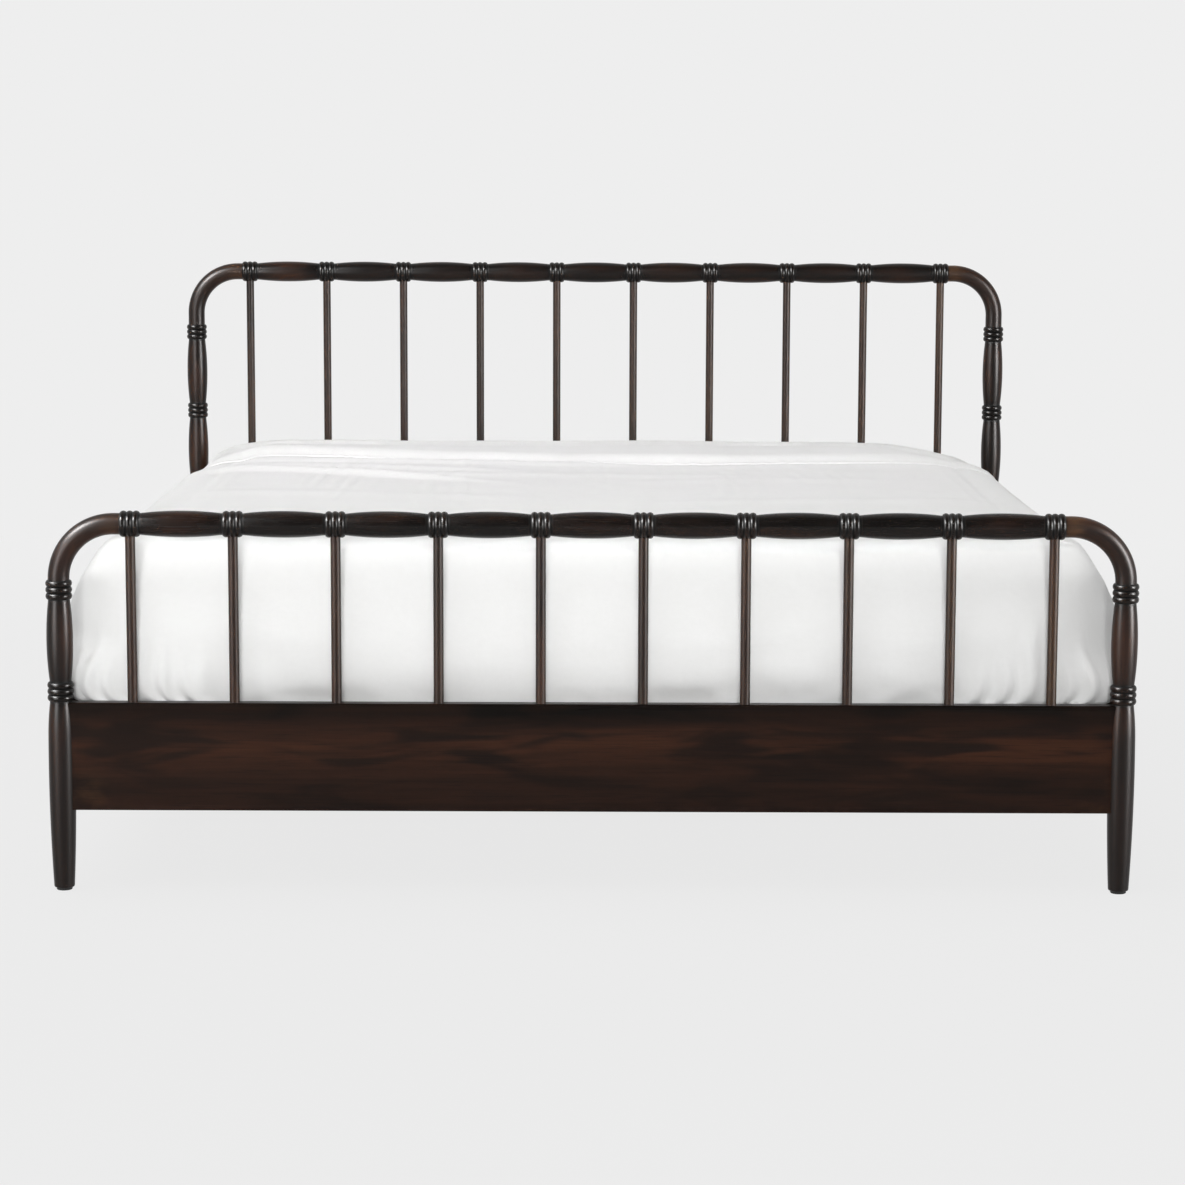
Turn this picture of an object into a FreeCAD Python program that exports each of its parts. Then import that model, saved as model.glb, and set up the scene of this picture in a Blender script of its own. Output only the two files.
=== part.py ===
import FreeCAD, Part
import os
import Sketcher
from FreeCAD import Placement, Rotation, Vector

# A turned spindle bed with its mattress and coverlet. Millimetres, +Z up. The origin is on the
# floor under the middle of the bed, +Y runs from the footboard to the headboard.

SIZES = {
    # The mattress sets how far apart the rails and the two boards stand.
    "mattress_width": 1930,
    "mattress_length": 2030,
    "mattress_thickness": 342,
    "mattress_corner": 65,
    "mattress_crown": 14,
    "mattress_waist": 5,
    "mattress_wall": 16,
    "side_gap": 27.5,
    "end_gap": 16,
    # Turning of the posts and the top rails.
    "bead_radius": 25,
    "groove_radius": 22,
    "neck_radius": 20.25,
    "barrel_radius": 25,
    "ring_width": 12,
    "tenon_radius": 11,
    "tenon_length": 26,
    # Footboard and headboard.
    "foot_rail_height": 702,
    "head_rail_height": 1100,
    "foot_bead_pitch": 194,
    "head_bead_pitch": 198,
    "bend_radius": 105,
    "bend_rail_run": 13,
    "foot_bend_run": 2,
    "head_bend_run": 29,
    "spindle_count": 10,
    "spindle_radius": 9.5,
    "rail_socket": 18,
    "panel_socket": 25,
    "panel_thickness": 28,
    "panel_clearance": 156,
    "panel_reveal": 2,
    "panel_edge": 3,
    "mortise_wall": 10,
    # Legs and floor glides.
    "foot_radius": 19.5,
    "foot_round": 3,
    "leg_belly_drop": 75,
    "leg_belly_bulge": 1.2,
    "leg_swell": 2.3,
    "glide_radius": 15,
    "glide_thickness": 5,
    "glide_edge": 1,
    "nail_radius": 2.5,
    "nail_length": 22,
    # Side rails, the plates that hook them to the posts, and the cleats.
    "side_rail_thickness": 25,
    "side_rail_height": 170,
    "side_rail_drop": 8,
    "side_rail_edge": 3,
    "post_flat": 17,
    "plate_thickness": 2.5,
    "plate_width": 18,
    "plate_height": 120,
    "plate_drop": 25,
    "rail_screw_spread": 12,
    "post_screw_inset": 8,
    "hook_thickness": 4,
    "hook_neck": 10,
    "hook_lip": 10,
    "hook_depth": 4,
    "hook_spread": 52,
    "hook_play": 1,
    "cleat_width": 30,
    "cleat_height": 35,
    "cleat_end": 60,
    # Slats, the beam under them and its hangers.
    "slat_count": 10,
    "slat_width": 120,
    "slat_thickness": 18,
    "slat_recess": 45,
    "slat_end_gap": 3,
    "slat_margin": 15,
    "slat_edge": 2,
    "beam_width": 45,
    "beam_height": 70,
    "hanger_thickness": 3,
    "hanger_flange": 22,
    "hanger_reach": 45,
    "hanger_side": 60,
    # Support legs with their levellers.
    "support_spacing": 530,
    "support_radius": 20,
    "support_tenon": 12,
    "support_tenon_length": 30,
    "support_taper": 5,
    "support_taper_height": 60,
    "stem_radius": 5,
    "stem_length": 78,
    "stem_play": 0.06,
    "stem_travel": 10,
    "nut_flats": 17,
    "nut_height": 8,
    "nut_lift": 10,
    "nut_clear": 1,
    "pad_radius": 22,
    "pad_height": 12,
    "pad_socket": 6,
    "pad_collar": 4,
    "pad_edge": 2,
    "pad_play": 0.3,
    # Screws, all of one size.
    "screw_radius": 2,
    "screw_length": 28,
    "screw_head": 4,
    "screw_head_height": 1.6,
    # Coverlet.
    "coverlet_gap": 0.4,
    "coverlet_thickness": 4.5,
    "coverlet_hem": 14,
    "fold_depth_left": 215,
    "fold_depth_middle": 450,
    "fold_depth_right": 370,
    "fold_rise": 22,
    "fold_spread": 3,
    # Clearance round every tenon, peg and screw.
    "fit_gap": 0.1,
}

BOARDS = {"foot": -1, "head": 1}
SIDES = {"left": -1, "right": 1}
GROUPS_ON_POST = {"foot": 2, "head": 3}

doc = FreeCAD.newDocument("spindle_bed")
sheet = doc.addObject("Spreadsheet::Sheet", "Sizes")
for row, (alias, number) in enumerate(SIZES.items(), start=1):
    sheet.set(f"A{row}", alias)
    sheet.set(f"B{row}", str(number))
    sheet.setAlias(f"B{row}", alias)
doc.recompute()

parts = []


def value(formula):
    """What a formula of the sheet's cells comes to."""
    return float(sheet.evalExpression(formula))


# Places that several pieces share, as formulas of the sheet's cells.
POST_X = "(Sizes.mattress_width / 2 + Sizes.side_gap + Sizes.side_rail_thickness / 2)"
BOARD_Y = "(Sizes.mattress_length / 2 + Sizes.end_gap + Sizes.panel_thickness / 2)"
GROUP = "(3 * Sizes.ring_width)"
RAIL_END_X = f"({POST_X} - Sizes.bend_radius - Sizes.bend_rail_run)"
SPINDLE_PITCH = f"((2 * {RAIL_END_X} - {GROUP}) / (Sizes.spindle_count - 1))"
POST_TOP = {
    b: f"(Sizes.{b}_rail_height - Sizes.bend_radius - Sizes.{b}_bend_run)" for b in BOARDS
}
LOW_BEAD = {
    b: f"({POST_TOP[b]} - {GROUP} - {GROUPS_ON_POST[b] - 1} * Sizes.{b}_bead_pitch)"
    for b in BOARDS
}
PANEL_TOP = {b: f"({LOW_BEAD[b]} - Sizes.panel_reveal)" for b in BOARDS}
PANEL_END_X = f"({POST_X} - Sizes.mortise_wall)"
SIDE_RAIL_TOP = f"({PANEL_TOP['foot']} - Sizes.side_rail_drop)"
SIDE_RAIL_BOTTOM = f"({SIDE_RAIL_TOP} - Sizes.side_rail_height)"
SIDE_RAIL_END_Y = f"({BOARD_Y} - Sizes.post_flat)"
SIDE_RAIL_INNER_X = f"({POST_X} - Sizes.side_rail_thickness / 2)"
SLAT_TOP = f"({SIDE_RAIL_TOP} - Sizes.slat_recess)"
SLAT_BOTTOM = f"({SLAT_TOP} - Sizes.slat_thickness)"
SLAT_END_X = f"({SIDE_RAIL_INNER_X} - Sizes.slat_end_gap)"
SLAT_SCREW_X = f"({SIDE_RAIL_INNER_X} - Sizes.cleat_width / 2)"
FIRST_SLAT_Y = "(Sizes.mattress_length / 2 - Sizes.slat_margin - Sizes.slat_width / 2)"
BEAM_BOTTOM = f"({SLAT_BOTTOM} - Sizes.beam_height)"
PANEL_INNER_Y = f"({BOARD_Y} - Sizes.panel_thickness / 2)"
HANGER_SCREW_X = "(Sizes.beam_width / 2 + Sizes.hanger_thickness + Sizes.hanger_flange / 2)"
HANGER_SCREWS_Z = [
    f"({BEAM_BOTTOM} + Sizes.hanger_side / 4)",
    f"({BEAM_BOTTOM} + Sizes.hanger_side * 3 / 4)",
]
PLATE_TOP = f"({SIDE_RAIL_TOP} - Sizes.plate_drop)"
PLATE_MIDDLE = f"({PLATE_TOP} - Sizes.plate_height / 2)"
HOOK_Z = [
    f"({PLATE_MIDDLE} - Sizes.hook_spread / 2)",
    f"({PLATE_MIDDLE} + Sizes.hook_spread / 2)",
]
PLATE_SCREWS_Z = {
    "rail": [
        f"({PLATE_MIDDLE} - Sizes.rail_screw_spread / 2)",
        f"({PLATE_MIDDLE} + Sizes.rail_screw_spread / 2)",
    ],
    "post": [
        f"({PLATE_TOP} - Sizes.plate_height + Sizes.post_screw_inset)",
        f"({PLATE_TOP} - Sizes.post_screw_inset)",
    ],
}


def slat_y(number):
    """The middle of a slat, counted from the footboard."""
    return f"(-{FIRST_SLAT_Y} + {number} * 2 * {FIRST_SLAT_Y} / (Sizes.slat_count - 1))"


def new_body(label):
    made = doc.addObject("PartDesign::Body", label)
    made.Label = label
    return made


def sketch_on(body, role, lift="0"):
    """A sketch on one of a body's own origin planes, moved out along that plane's axis."""
    plane = next(f for f in body.Origin.OriginFeatures if f.Role == role)
    made = body.newObject("Sketcher::SketchObject", "outline")
    made.AttachmentSupport = [(plane, "")]
    made.MapMode = "FlatFace"
    if lift != "0":
        made.setExpression("AttachmentOffset.Base.z", f"-({lift})" if role == "XZ_Plane" else lift)
    return made


def hold(sketch, geometry, point, across, up):
    """Tie one point of a sketch to its two formulas."""
    for kind, formula, axis in (("DistanceX", across, -2), ("DistanceY", up, -1)):
        if formula == "0":
            sketch.addConstraint(Sketcher.Constraint("PointOnObject", geometry, point, axis))
            continue
        rule = Sketcher.Constraint(kind, -1, 1, geometry, point, value(formula))
        sketch.setExpression(f"Constraints[{sketch.addConstraint(rule)}]", formula)


def outline(sketch, corners):
    """A closed outline of corners (across, up, bulge), where bulge is how far the edge to the
    next corner bows out to the right of its straight line."""
    spots = [Vector(value(c[0]), value(c[1]), 0) for c in corners]
    ends = []
    radii = []
    for i, corner in enumerate(corners):
        a, b = spots[i], spots[(i + 1) % len(spots)]
        if len(corner) == 2:
            ends.append((sketch.addGeometry(Part.LineSegment(a, b)), 1, 2))
            continue
        chord = b - a
        bulge = Vector(chord.y, -chord.x, 0).normalize() * value(corner[2])
        geometry = sketch.addGeometry(Part.Arc(a, (a + b) * 0.5 + bulge, b))
        first = sketch.getPoint(geometry, 1).distanceToPoint(a) < 0.001
        ends.append((geometry, 1, 2) if first else (geometry, 2, 1))
        x, y = corners[(i + 1) % len(corners)][:2]
        span = f"(({x} - {corner[0]})^2 + ({y} - {corner[1]})^2)"
        radii.append((geometry, f"{span} / (8 * {corner[2]}) + {corner[2]} / 2"))
    joins = []
    for this, following in zip(ends, ends[1:] + ends[:1]):
        joins.append(Sketcher.Constraint("Coincident", this[0], this[2], following[0], following[1]))
    sketch.addConstraint(joins)
    for (geometry, start, _), corner in zip(ends, corners):
        hold(sketch, geometry, start, corner[0], corner[1])
    for geometry, formula in radii:
        rule = Sketcher.Constraint("Radius", geometry, value(formula))
        sketch.setExpression(f"Constraints[{sketch.addConstraint(rule)}]", formula)


def rectangle(sketch, left, right, low, high):
    outline(sketch, [(left, low), (right, low), (right, high), (left, high)])


def circles(sketch, spots, radius):
    for across, up in spots:
        centre = Vector(value(across), value(up), 0)
        geometry = sketch.addGeometry(Part.Circle(centre, Vector(0, 0, 1), value(radius)))
        hold(sketch, geometry, 3, across, up)
        rule = Sketcher.Constraint("Radius", geometry, value(radius))
        sketch.setExpression(f"Constraints[{sketch.addConstraint(rule)}]", radius)


def swept_round(body, sketch, axis):
    """A turned feature: the sketch revolved about its own H_Axis or V_Axis."""
    made = body.newObject("PartDesign::Revolution", "turning")
    made.Profile = sketch
    made.ReferenceAxis = (sketch, [axis])
    made.Angle = 360
    return made


def extruded(body, kind, sketch, length):
    """A Pad or Pocket that runs the same way to both sides of its sketch."""
    made = body.newObject(f"PartDesign::{kind}", kind.lower())
    made.Profile = sketch
    made.SideType = "Symmetric"
    made.setExpression("Length", length)
    return made


def bored(body, role, spots, radius, middle, length):
    """Round holes across an origin plane, length long about the height middle."""
    sketch = sketch_on(body, role, middle)
    circles(sketch, spots, radius)
    return extruded(body, "Pocket", sketch, length)


def notched(body, role, left, right, low, high, length):
    """A square-cornered notch across an origin plane."""
    sketch = sketch_on(body, role)
    rectangle(sketch, left, right, low, high)
    return extruded(body, "Pocket", sketch, length)


def repeated(body, feature, sketch, axis, length, count):
    """A row of one feature along its sketch's axis."""
    made = body.newObject("PartDesign::LinearPattern", "row")
    made.Originals = [feature]
    made.Direction = (sketch, [axis])
    made.setExpression("Length", length)
    made.setExpression("Occurrences", count)
    body.Tip = made
    return made


def eased(body, feature, direction, radius):
    """Round the edges of a feature that run in one direction."""
    doc.recompute()
    names = []
    for number, edge in enumerate(feature.Shape.Edges, start=1):
        if abs(edge.tangentAt(edge.FirstParameter).dot(direction)) > 0.999:
            names.append(f"Edge{number}")
    made = body.newObject("PartDesign::Fillet", "eased_edges")
    made.Base = (feature, names)
    made.setExpression("Radius", radius)
    return made


def stand(item, across="0", along="0", up="0", turn=0):
    """Put a piece in its place in the bed, turned about the upright."""
    item.Placement = Placement(Vector(), Rotation(Vector(0, 0, 1), turn))
    for axis, formula in (("x", across), ("y", along), ("z", up)):
        if formula != "0":
            item.setExpression(f"Placement.Base.{axis}", formula)
    return item


def signed(sign, formula):
    return formula if sign > 0 else f"-{formula}"


def bead_group(start):
    """The corners of three rings side by side, from the start of the group."""
    corners = []
    bulge = "(Sizes.bead_radius - Sizes.groove_radius)"
    for ring in range(3):
        place = f"({start} + {ring} * Sizes.ring_width)"
        corners.append(("Sizes.groove_radius", place, bulge))
    corners.append(("Sizes.groove_radius", f"({start} + {GROUP})"))
    return corners


# Posts: a tapered leg, bead groups with barrels between them, and a tenon for the bend.
BARREL_BULGE = "(Sizes.barrel_radius - Sizes.neck_radius)"


def post(board, side):
    body = new_body(f"{board}_post_{side}")
    inward, ahead = -SIDES[side], -BOARDS[board]
    base = "Sizes.glide_thickness"
    nail = "(Sizes.nail_radius + Sizes.fit_gap)"
    nail_end = f"({base} + Sizes.nail_length + Sizes.fit_gap)"
    low = LOW_BEAD[board]
    corners = [
        ("0", nail_end),
        (nail, nail_end),
        (nail, base),
        ("(Sizes.foot_radius - Sizes.foot_round)", base, "(Sizes.foot_round * 0.29)"),
        ("Sizes.foot_radius", f"({base} + Sizes.foot_round)", "Sizes.leg_swell"),
        ("Sizes.barrel_radius", f"({low} - Sizes.leg_belly_drop)", "Sizes.leg_belly_bulge"),
        ("Sizes.neck_radius", low),
    ]
    for number in range(GROUPS_ON_POST[board]):
        start = f"({low} + {number} * Sizes.{board}_bead_pitch)"
        if number:
            above_last = f"({start} - Sizes.{board}_bead_pitch + {GROUP})"
            corners.append(("Sizes.neck_radius", above_last, BARREL_BULGE))
            corners.append(("Sizes.neck_radius", start))
        corners += bead_group(start)
    top = f"({POST_TOP[board]} + Sizes.tenon_length)"
    corners += [("Sizes.tenon_radius", POST_TOP[board]), ("Sizes.tenon_radius", top), ("0", top)]
    sketch = sketch_on(body, "XZ_Plane")
    outline(sketch, corners)
    swept_round(body, sketch, "V_Axis")

    # The mortise that takes the end of the panel.
    near, far = sorted((signed(inward, "Sizes.mortise_wall"), signed(inward, "60")), key=value)
    low_side = "(Sizes.panel_clearance - Sizes.fit_gap)"
    high_side = f"({PANEL_TOP[board]} + Sizes.fit_gap)"
    width = "(Sizes.panel_thickness + 2 * Sizes.fit_gap)"
    notched(body, "XZ_Plane", near, far, low_side, high_side, width)

    # The flat that the side rail butts against, with a seat for its plate and room for hooks.
    seat = "(Sizes.post_flat - Sizes.plate_thickness)"
    hollow = f"({seat} - Sizes.hook_depth - 2 * Sizes.hook_play)"
    reach = "(Sizes.hook_neck / 2 + Sizes.hook_lip + 4 * Sizes.hook_play)"
    cuts = [
        ("Sizes.post_flat", f"({SIDE_RAIL_BOTTOM} - Sizes.fit_gap)", SIDE_RAIL_TOP, "60"),
        (
            seat,
            f"({PLATE_TOP} - Sizes.plate_height)",
            PLATE_TOP,
            "(Sizes.plate_width + 2 * Sizes.fit_gap)",
        ),
        (
            hollow,
            f"({HOOK_Z[0]} - {reach})",
            f"({HOOK_Z[1]} + {reach})",
            "(Sizes.hook_thickness + 2 * Sizes.hook_play)",
        ),
    ]
    for depth, low_side, high_side, width in cuts:
        near, far = sorted((signed(ahead, depth), signed(ahead, "60")), key=value)
        notched(body, "YZ_Plane", near, far, low_side, high_side, width)
    spots = [("0", z) for z in PLATE_SCREWS_Z["post"]]
    length = "(2 * (Sizes.screw_length + Sizes.fit_gap))"
    bored(
        body, "XZ_Plane", spots, "(Sizes.screw_radius + Sizes.fit_gap)",
        signed(ahead, "Sizes.post_flat"), length,
    )
    stand(body, signed(SIDES[side], POST_X), signed(BOARDS[board], BOARD_Y))
    parts.append(body)


def bend(board, side):
    """A quarter bend from the top of a post to the end of a top rail, bored for both tenons."""
    body = new_body(f"{board}_bend_{side}")
    run = f"Sizes.{board}_bend_run"
    rise = f"({run} + Sizes.bend_radius)"
    reach = "(Sizes.bend_radius + Sizes.bend_rail_run)"
    ring = sketch_on(body, "XY_Plane")
    circles(ring, [("0", "0")], "Sizes.neck_radius")
    path = sketch_on(body, "XZ_Plane")
    turn = Vector(value("Sizes.bend_radius"), value(run), 0)
    mid = turn + Vector(-1, 1, 0).normalize() * value("Sizes.bend_radius")
    arc_start, arc_end = Vector(0, value(run), 0), Vector(turn.x, value(rise), 0)
    path.addGeometry(Part.LineSegment(Vector(0, 0, 0), arc_start))
    path.addGeometry(Part.Arc(arc_start, mid, arc_end))
    path.addGeometry(Part.LineSegment(arc_end, Vector(value(reach), value(rise), 0)))
    first, last = (1, 2) if path.getPoint(1, 1).distanceToPoint(arc_start) < 0.001 else (2, 1)
    path.addConstraint(Sketcher.Constraint("Coincident", 0, 2, 1, first))
    path.addConstraint(Sketcher.Constraint("Coincident", 1, last, 2, 1))
    hold(path, 0, 1, "0", "0")
    hold(path, 0, 2, "0", run)
    hold(path, 2, 1, "Sizes.bend_radius", rise)
    hold(path, 2, 2, reach, rise)
    rule = Sketcher.Constraint("Radius", 1, value("Sizes.bend_radius"))
    path.setExpression(f"Constraints[{path.addConstraint(rule)}]", "Sizes.bend_radius")
    pipe = body.newObject("PartDesign::AdditivePipe", "pipe")
    pipe.Profile = ring
    pipe.Spine = (path, ["Edge1", "Edge2", "Edge3"])
    bore = "(Sizes.tenon_radius + Sizes.fit_gap)"
    depth = "(2 * (Sizes.tenon_length + Sizes.fit_gap))"
    bored(body, "XY_Plane", [("0", "0")], bore, "0", depth)
    bored(body, "YZ_Plane", [("0", rise)], bore, reach, depth)
    stand(
        body, signed(SIDES[side], POST_X), signed(BOARDS[board], BOARD_Y), POST_TOP[board],
        turn=180 if side == "right" else 0,
    )
    parts.append(body)


def top_rail(board):
    """Bead groups and barrels in turn, a tenon at each end and a socket under each group."""
    body = new_body(f"{board}_top_rail")
    first = "Sizes.tenon_length"
    last = f"({first} + (Sizes.spindle_count - 1) * {SPINDLE_PITCH})"
    end = f"({last} + {GROUP})"

    def turned(corners):
        sketch = sketch_on(body, "XZ_Plane")
        outline(sketch, [(c[1], c[0]) + c[2:] for c in corners])
        return sketch, swept_round(body, sketch, "H_Axis")

    def leftward(corners):
        """The same corners walked from the far end, so that bulges bow away from the axis."""
        walked = []
        bulges = [c[2:] for c in corners]
        for i in range(len(corners) - 1, -1, -1):
            walked.append(corners[i][:2] + (bulges[i - 1] if i else ()))
        return walked

    barrel_end = f"({first} + {SPINDLE_PITCH})"
    unit = [("0", first)] + bead_group(first)
    unit += [
        ("Sizes.neck_radius", f"({first} + {GROUP})", BARREL_BULGE),
        ("Sizes.neck_radius", barrel_end),
        ("0", barrel_end),
    ]
    sketch, turning = turned(leftward(unit))
    length = f"((Sizes.spindle_count - 2) * {SPINDLE_PITCH})"
    repeated(body, turning, sketch, "H_Axis", length, "Sizes.spindle_count - 1")
    tenon_end = f"({end} + Sizes.tenon_length)"
    close = [("0", last)] + bead_group(last)
    close += [("Sizes.tenon_radius", end), ("Sizes.tenon_radius", tenon_end), ("0", tenon_end)]
    turned(leftward(close))
    tenon = [("0", "0"), ("Sizes.tenon_radius", "0"), ("Sizes.tenon_radius", first), ("0", first)]
    turned(leftward(tenon))

    deep = "(Sizes.bead_radius - Sizes.rail_socket)"
    spot = f"({first} + {GROUP} / 2)"
    sockets = sketch_on(body, "XY_Plane", f"-({deep} + Sizes.bead_radius)")
    circles(sockets, [(spot, "0")], "(Sizes.spindle_radius + Sizes.fit_gap)")
    socket = extruded(body, "Pocket", sockets, "(2 * Sizes.bead_radius)")
    length = f"((Sizes.spindle_count - 1) * {SPINDLE_PITCH})"
    repeated(body, socket, sockets, "H_Axis", length, "Sizes.spindle_count")
    stand(
        body, f"-({RAIL_END_X} + Sizes.tenon_length)", signed(BOARDS[board], BOARD_Y),
        f"Sizes.{board}_rail_height",
    )
    parts.append(body)


def panel(board):
    """A plank between the posts, its ends in their mortises, with a socket for each spindle."""
    body = new_body(f"{board}_panel")
    top = PANEL_TOP[board]
    sketch = sketch_on(body, "XZ_Plane")
    rectangle(sketch, f"-{PANEL_END_X}", PANEL_END_X, "Sizes.panel_clearance", top)
    plank = extruded(body, "Pad", sketch, "Sizes.panel_thickness")
    eased(body, plank, Vector(1, 0, 0), "Sizes.panel_edge")
    first = f"-({RAIL_END_X} - {GROUP} / 2)"
    sockets = sketch_on(body, "XY_Plane", top)
    circles(sockets, [(first, "0")], "(Sizes.spindle_radius + Sizes.fit_gap)")
    socket = extruded(body, "Pocket", sockets, "(2 * Sizes.panel_socket)")
    length = f"((Sizes.spindle_count - 1) * {SPINDLE_PITCH})"
    repeated(body, socket, sockets, "H_Axis", length, "Sizes.spindle_count")
    spots = [(signed(s, HANGER_SCREW_X), z) for s in (-1, 1) for z in HANGER_SCREWS_Z]
    face = signed(-BOARDS[board], "(Sizes.panel_thickness / 2)")
    depth = "(2 * (Sizes.screw_length - Sizes.hanger_thickness + Sizes.fit_gap))"
    bored(body, "XZ_Plane", spots, "(Sizes.screw_radius + Sizes.fit_gap)", face, depth)
    stand(body, "0", signed(BOARDS[board], BOARD_Y))
    parts.append(body)


def spindles(board):
    foot = f"({PANEL_TOP[board]} - Sizes.panel_socket)"
    head = f"(Sizes.{board}_rail_height - Sizes.bead_radius + Sizes.rail_socket)"
    for number in range(int(value("Sizes.spindle_count"))):
        label = f"{board}_spindle_{number + 1:02d}"
        rod = doc.addObject("Part::Cylinder", label)
        rod.Label = label
        rod.setExpression("Radius", "Sizes.spindle_radius")
        rod.setExpression("Height", f"{head} - {foot}")
        across = f"{number} * {SPINDLE_PITCH} - ({RAIL_END_X} - {GROUP} / 2)"
        stand(rod, across, signed(BOARDS[board], BOARD_Y), foot)
        parts.append(rod)


def plank_along(body, left, right, low, high, length):
    """A straight plank along Y with its section in the sketch."""
    sketch = sketch_on(body, "XZ_Plane")
    rectangle(sketch, left, right, low, high)
    return extruded(body, "Pad", sketch, length)


def side_rail(side):
    body = new_body(f"side_rail_{side}")
    half = "(Sizes.side_rail_thickness / 2)"
    board = plank_along(
        body, f"-{half}", half, SIDE_RAIL_BOTTOM, SIDE_RAIL_TOP, f"(2 * {SIDE_RAIL_END_Y})"
    )
    eased(body, board, Vector(0, 1, 0), "Sizes.side_rail_edge")
    seat = f"({SIDE_RAIL_END_Y} - Sizes.plate_thickness)"
    low = f"({PLATE_TOP} - Sizes.plate_height)"
    width = "(Sizes.plate_width + 2 * Sizes.fit_gap)"
    for sign in BOARDS.values():
        near, far = sorted((signed(sign, seat), signed(sign, BOARD_Y)), key=value)
        notched(body, "YZ_Plane", near, far, low, PLATE_TOP, width)
        spots = [("0", z) for z in PLATE_SCREWS_Z["rail"]]
        depth = "(2 * (Sizes.screw_length + Sizes.fit_gap))"
        bored(
            body, "XZ_Plane", spots, "(Sizes.screw_radius + Sizes.fit_gap)",
            signed(sign, SIDE_RAIL_END_Y), depth,
        )
    stand(body, signed(SIDES[side], POST_X))
    parts.append(body)


def slat_cleat(side):
    """The ledge along the inside of a side rail that the slats are screwed to."""
    body = new_body(f"slat_cleat_{side}")
    near, far = f"({SIDE_RAIL_INNER_X} - Sizes.cleat_width)", SIDE_RAIL_INNER_X
    left, right = sorted((signed(SIDES[side], near), signed(SIDES[side], far)), key=value)
    low = f"({SLAT_BOTTOM} - Sizes.cleat_height)"
    length = f"(2 * ({SIDE_RAIL_END_Y} - Sizes.cleat_end))"
    plank_along(body, left, right, low, SLAT_BOTTOM, length)
    count = int(value("Sizes.slat_count"))
    spots = [(signed(SIDES[side], SLAT_SCREW_X), slat_y(n)) for n in range(count)]
    depth = "(2 * (Sizes.screw_length - Sizes.slat_thickness + 1))"
    bored(body, "XY_Plane", spots, "(Sizes.screw_radius + Sizes.fit_gap)", SLAT_BOTTOM, depth)
    parts.append(body)


def slat(number):
    body = new_body(f"slat_{number + 1:02d}")
    sketch = sketch_on(body, "YZ_Plane")
    half = "(Sizes.slat_width / 2)"
    rectangle(sketch, f"-{half}", half, "0", "Sizes.slat_thickness")
    board = extruded(body, "Pad", sketch, f"(2 * {SLAT_END_X})")
    eased(body, board, Vector(1, 0, 0), "Sizes.slat_edge")
    spots = [(signed(s, SLAT_SCREW_X), "0") for s in (-1, 1)]
    through = "(4 * Sizes.slat_thickness)"
    bored(body, "XY_Plane", spots, "(Sizes.screw_radius + Sizes.fit_gap)", "0", through)
    head = "(2 * Sizes.screw_head_height)"
    bored(
        body, "XY_Plane", spots, "(Sizes.screw_head + Sizes.fit_gap)", "Sizes.slat_thickness", head
    )
    stand(body, "0", slat_y(number), SLAT_BOTTOM)
    parts.append(body)


def centre_beam():
    body = new_body("centre_beam")
    half = "(Sizes.beam_width / 2)"
    length = f"(2 * ({PANEL_INNER_Y} - Sizes.hanger_thickness))"
    plank_along(body, f"-{half}", half, BEAM_BOTTOM, SLAT_BOTTOM, length)
    spots = [("0", signed(s, "(Sizes.support_spacing / 2)")) for s in (-1, 1)]
    depth = "(2 * (Sizes.support_tenon_length + Sizes.fit_gap))"
    bored(body, "XY_Plane", spots, "(Sizes.support_tenon + Sizes.fit_gap)", BEAM_BOTTOM, depth)
    parts.append(body)


def beam_hanger(board):
    """A bent steel stirrup on the inside of a panel that holds one end of the beam."""
    body = new_body(f"{board}_beam_hanger")
    side = "(Sizes.beam_width / 2 + Sizes.fit_gap)"
    shell = f"({side} + Sizes.hanger_thickness)"
    wing = f"({shell} + Sizes.hanger_flange)"
    floor = f"({BEAM_BOTTOM} - Sizes.hanger_thickness)"
    top = f"({BEAM_BOTTOM} + Sizes.hanger_side)"
    reach = "(2 * Sizes.hanger_reach)"
    cradle = sketch_on(body, "XZ_Plane")
    rectangle(cradle, f"-{shell}", shell, floor, top)
    extruded(body, "Pad", cradle, reach)
    # Only the half on the panel's inner side is kept, the beam's own space is then cut out.
    notched(body, "YZ_Plane", "(-2 * Sizes.hanger_reach)", "0", "0", f"(2 * {top})", f"(4 * {wing})")
    notched(body, "XZ_Plane", f"-{side}", side, BEAM_BOTTOM, f"(2 * {top})", f"(2 * {reach})")
    back = sketch_on(body, "XZ_Plane", "(Sizes.hanger_thickness / 2)")
    rectangle(back, f"-{wing}", wing, floor, top)
    extruded(body, "Pad", back, "Sizes.hanger_thickness")
    spots = [(signed(s, HANGER_SCREW_X), z) for s in (-1, 1) for z in HANGER_SCREWS_Z]
    through = "(4 * Sizes.hanger_thickness)"
    bored(body, "XZ_Plane", spots, "(Sizes.screw_radius + Sizes.fit_gap)", "0", through)
    head = "(2 * Sizes.screw_head_height)"
    bored(
        body, "XZ_Plane", spots, "(Sizes.screw_head + Sizes.fit_gap)", "Sizes.hanger_thickness", head
    )
    turn = 0 if board == "foot" else 180
    return stand(body, "0", signed(BOARDS[board], PANEL_INNER_Y), turn=turn)


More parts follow.
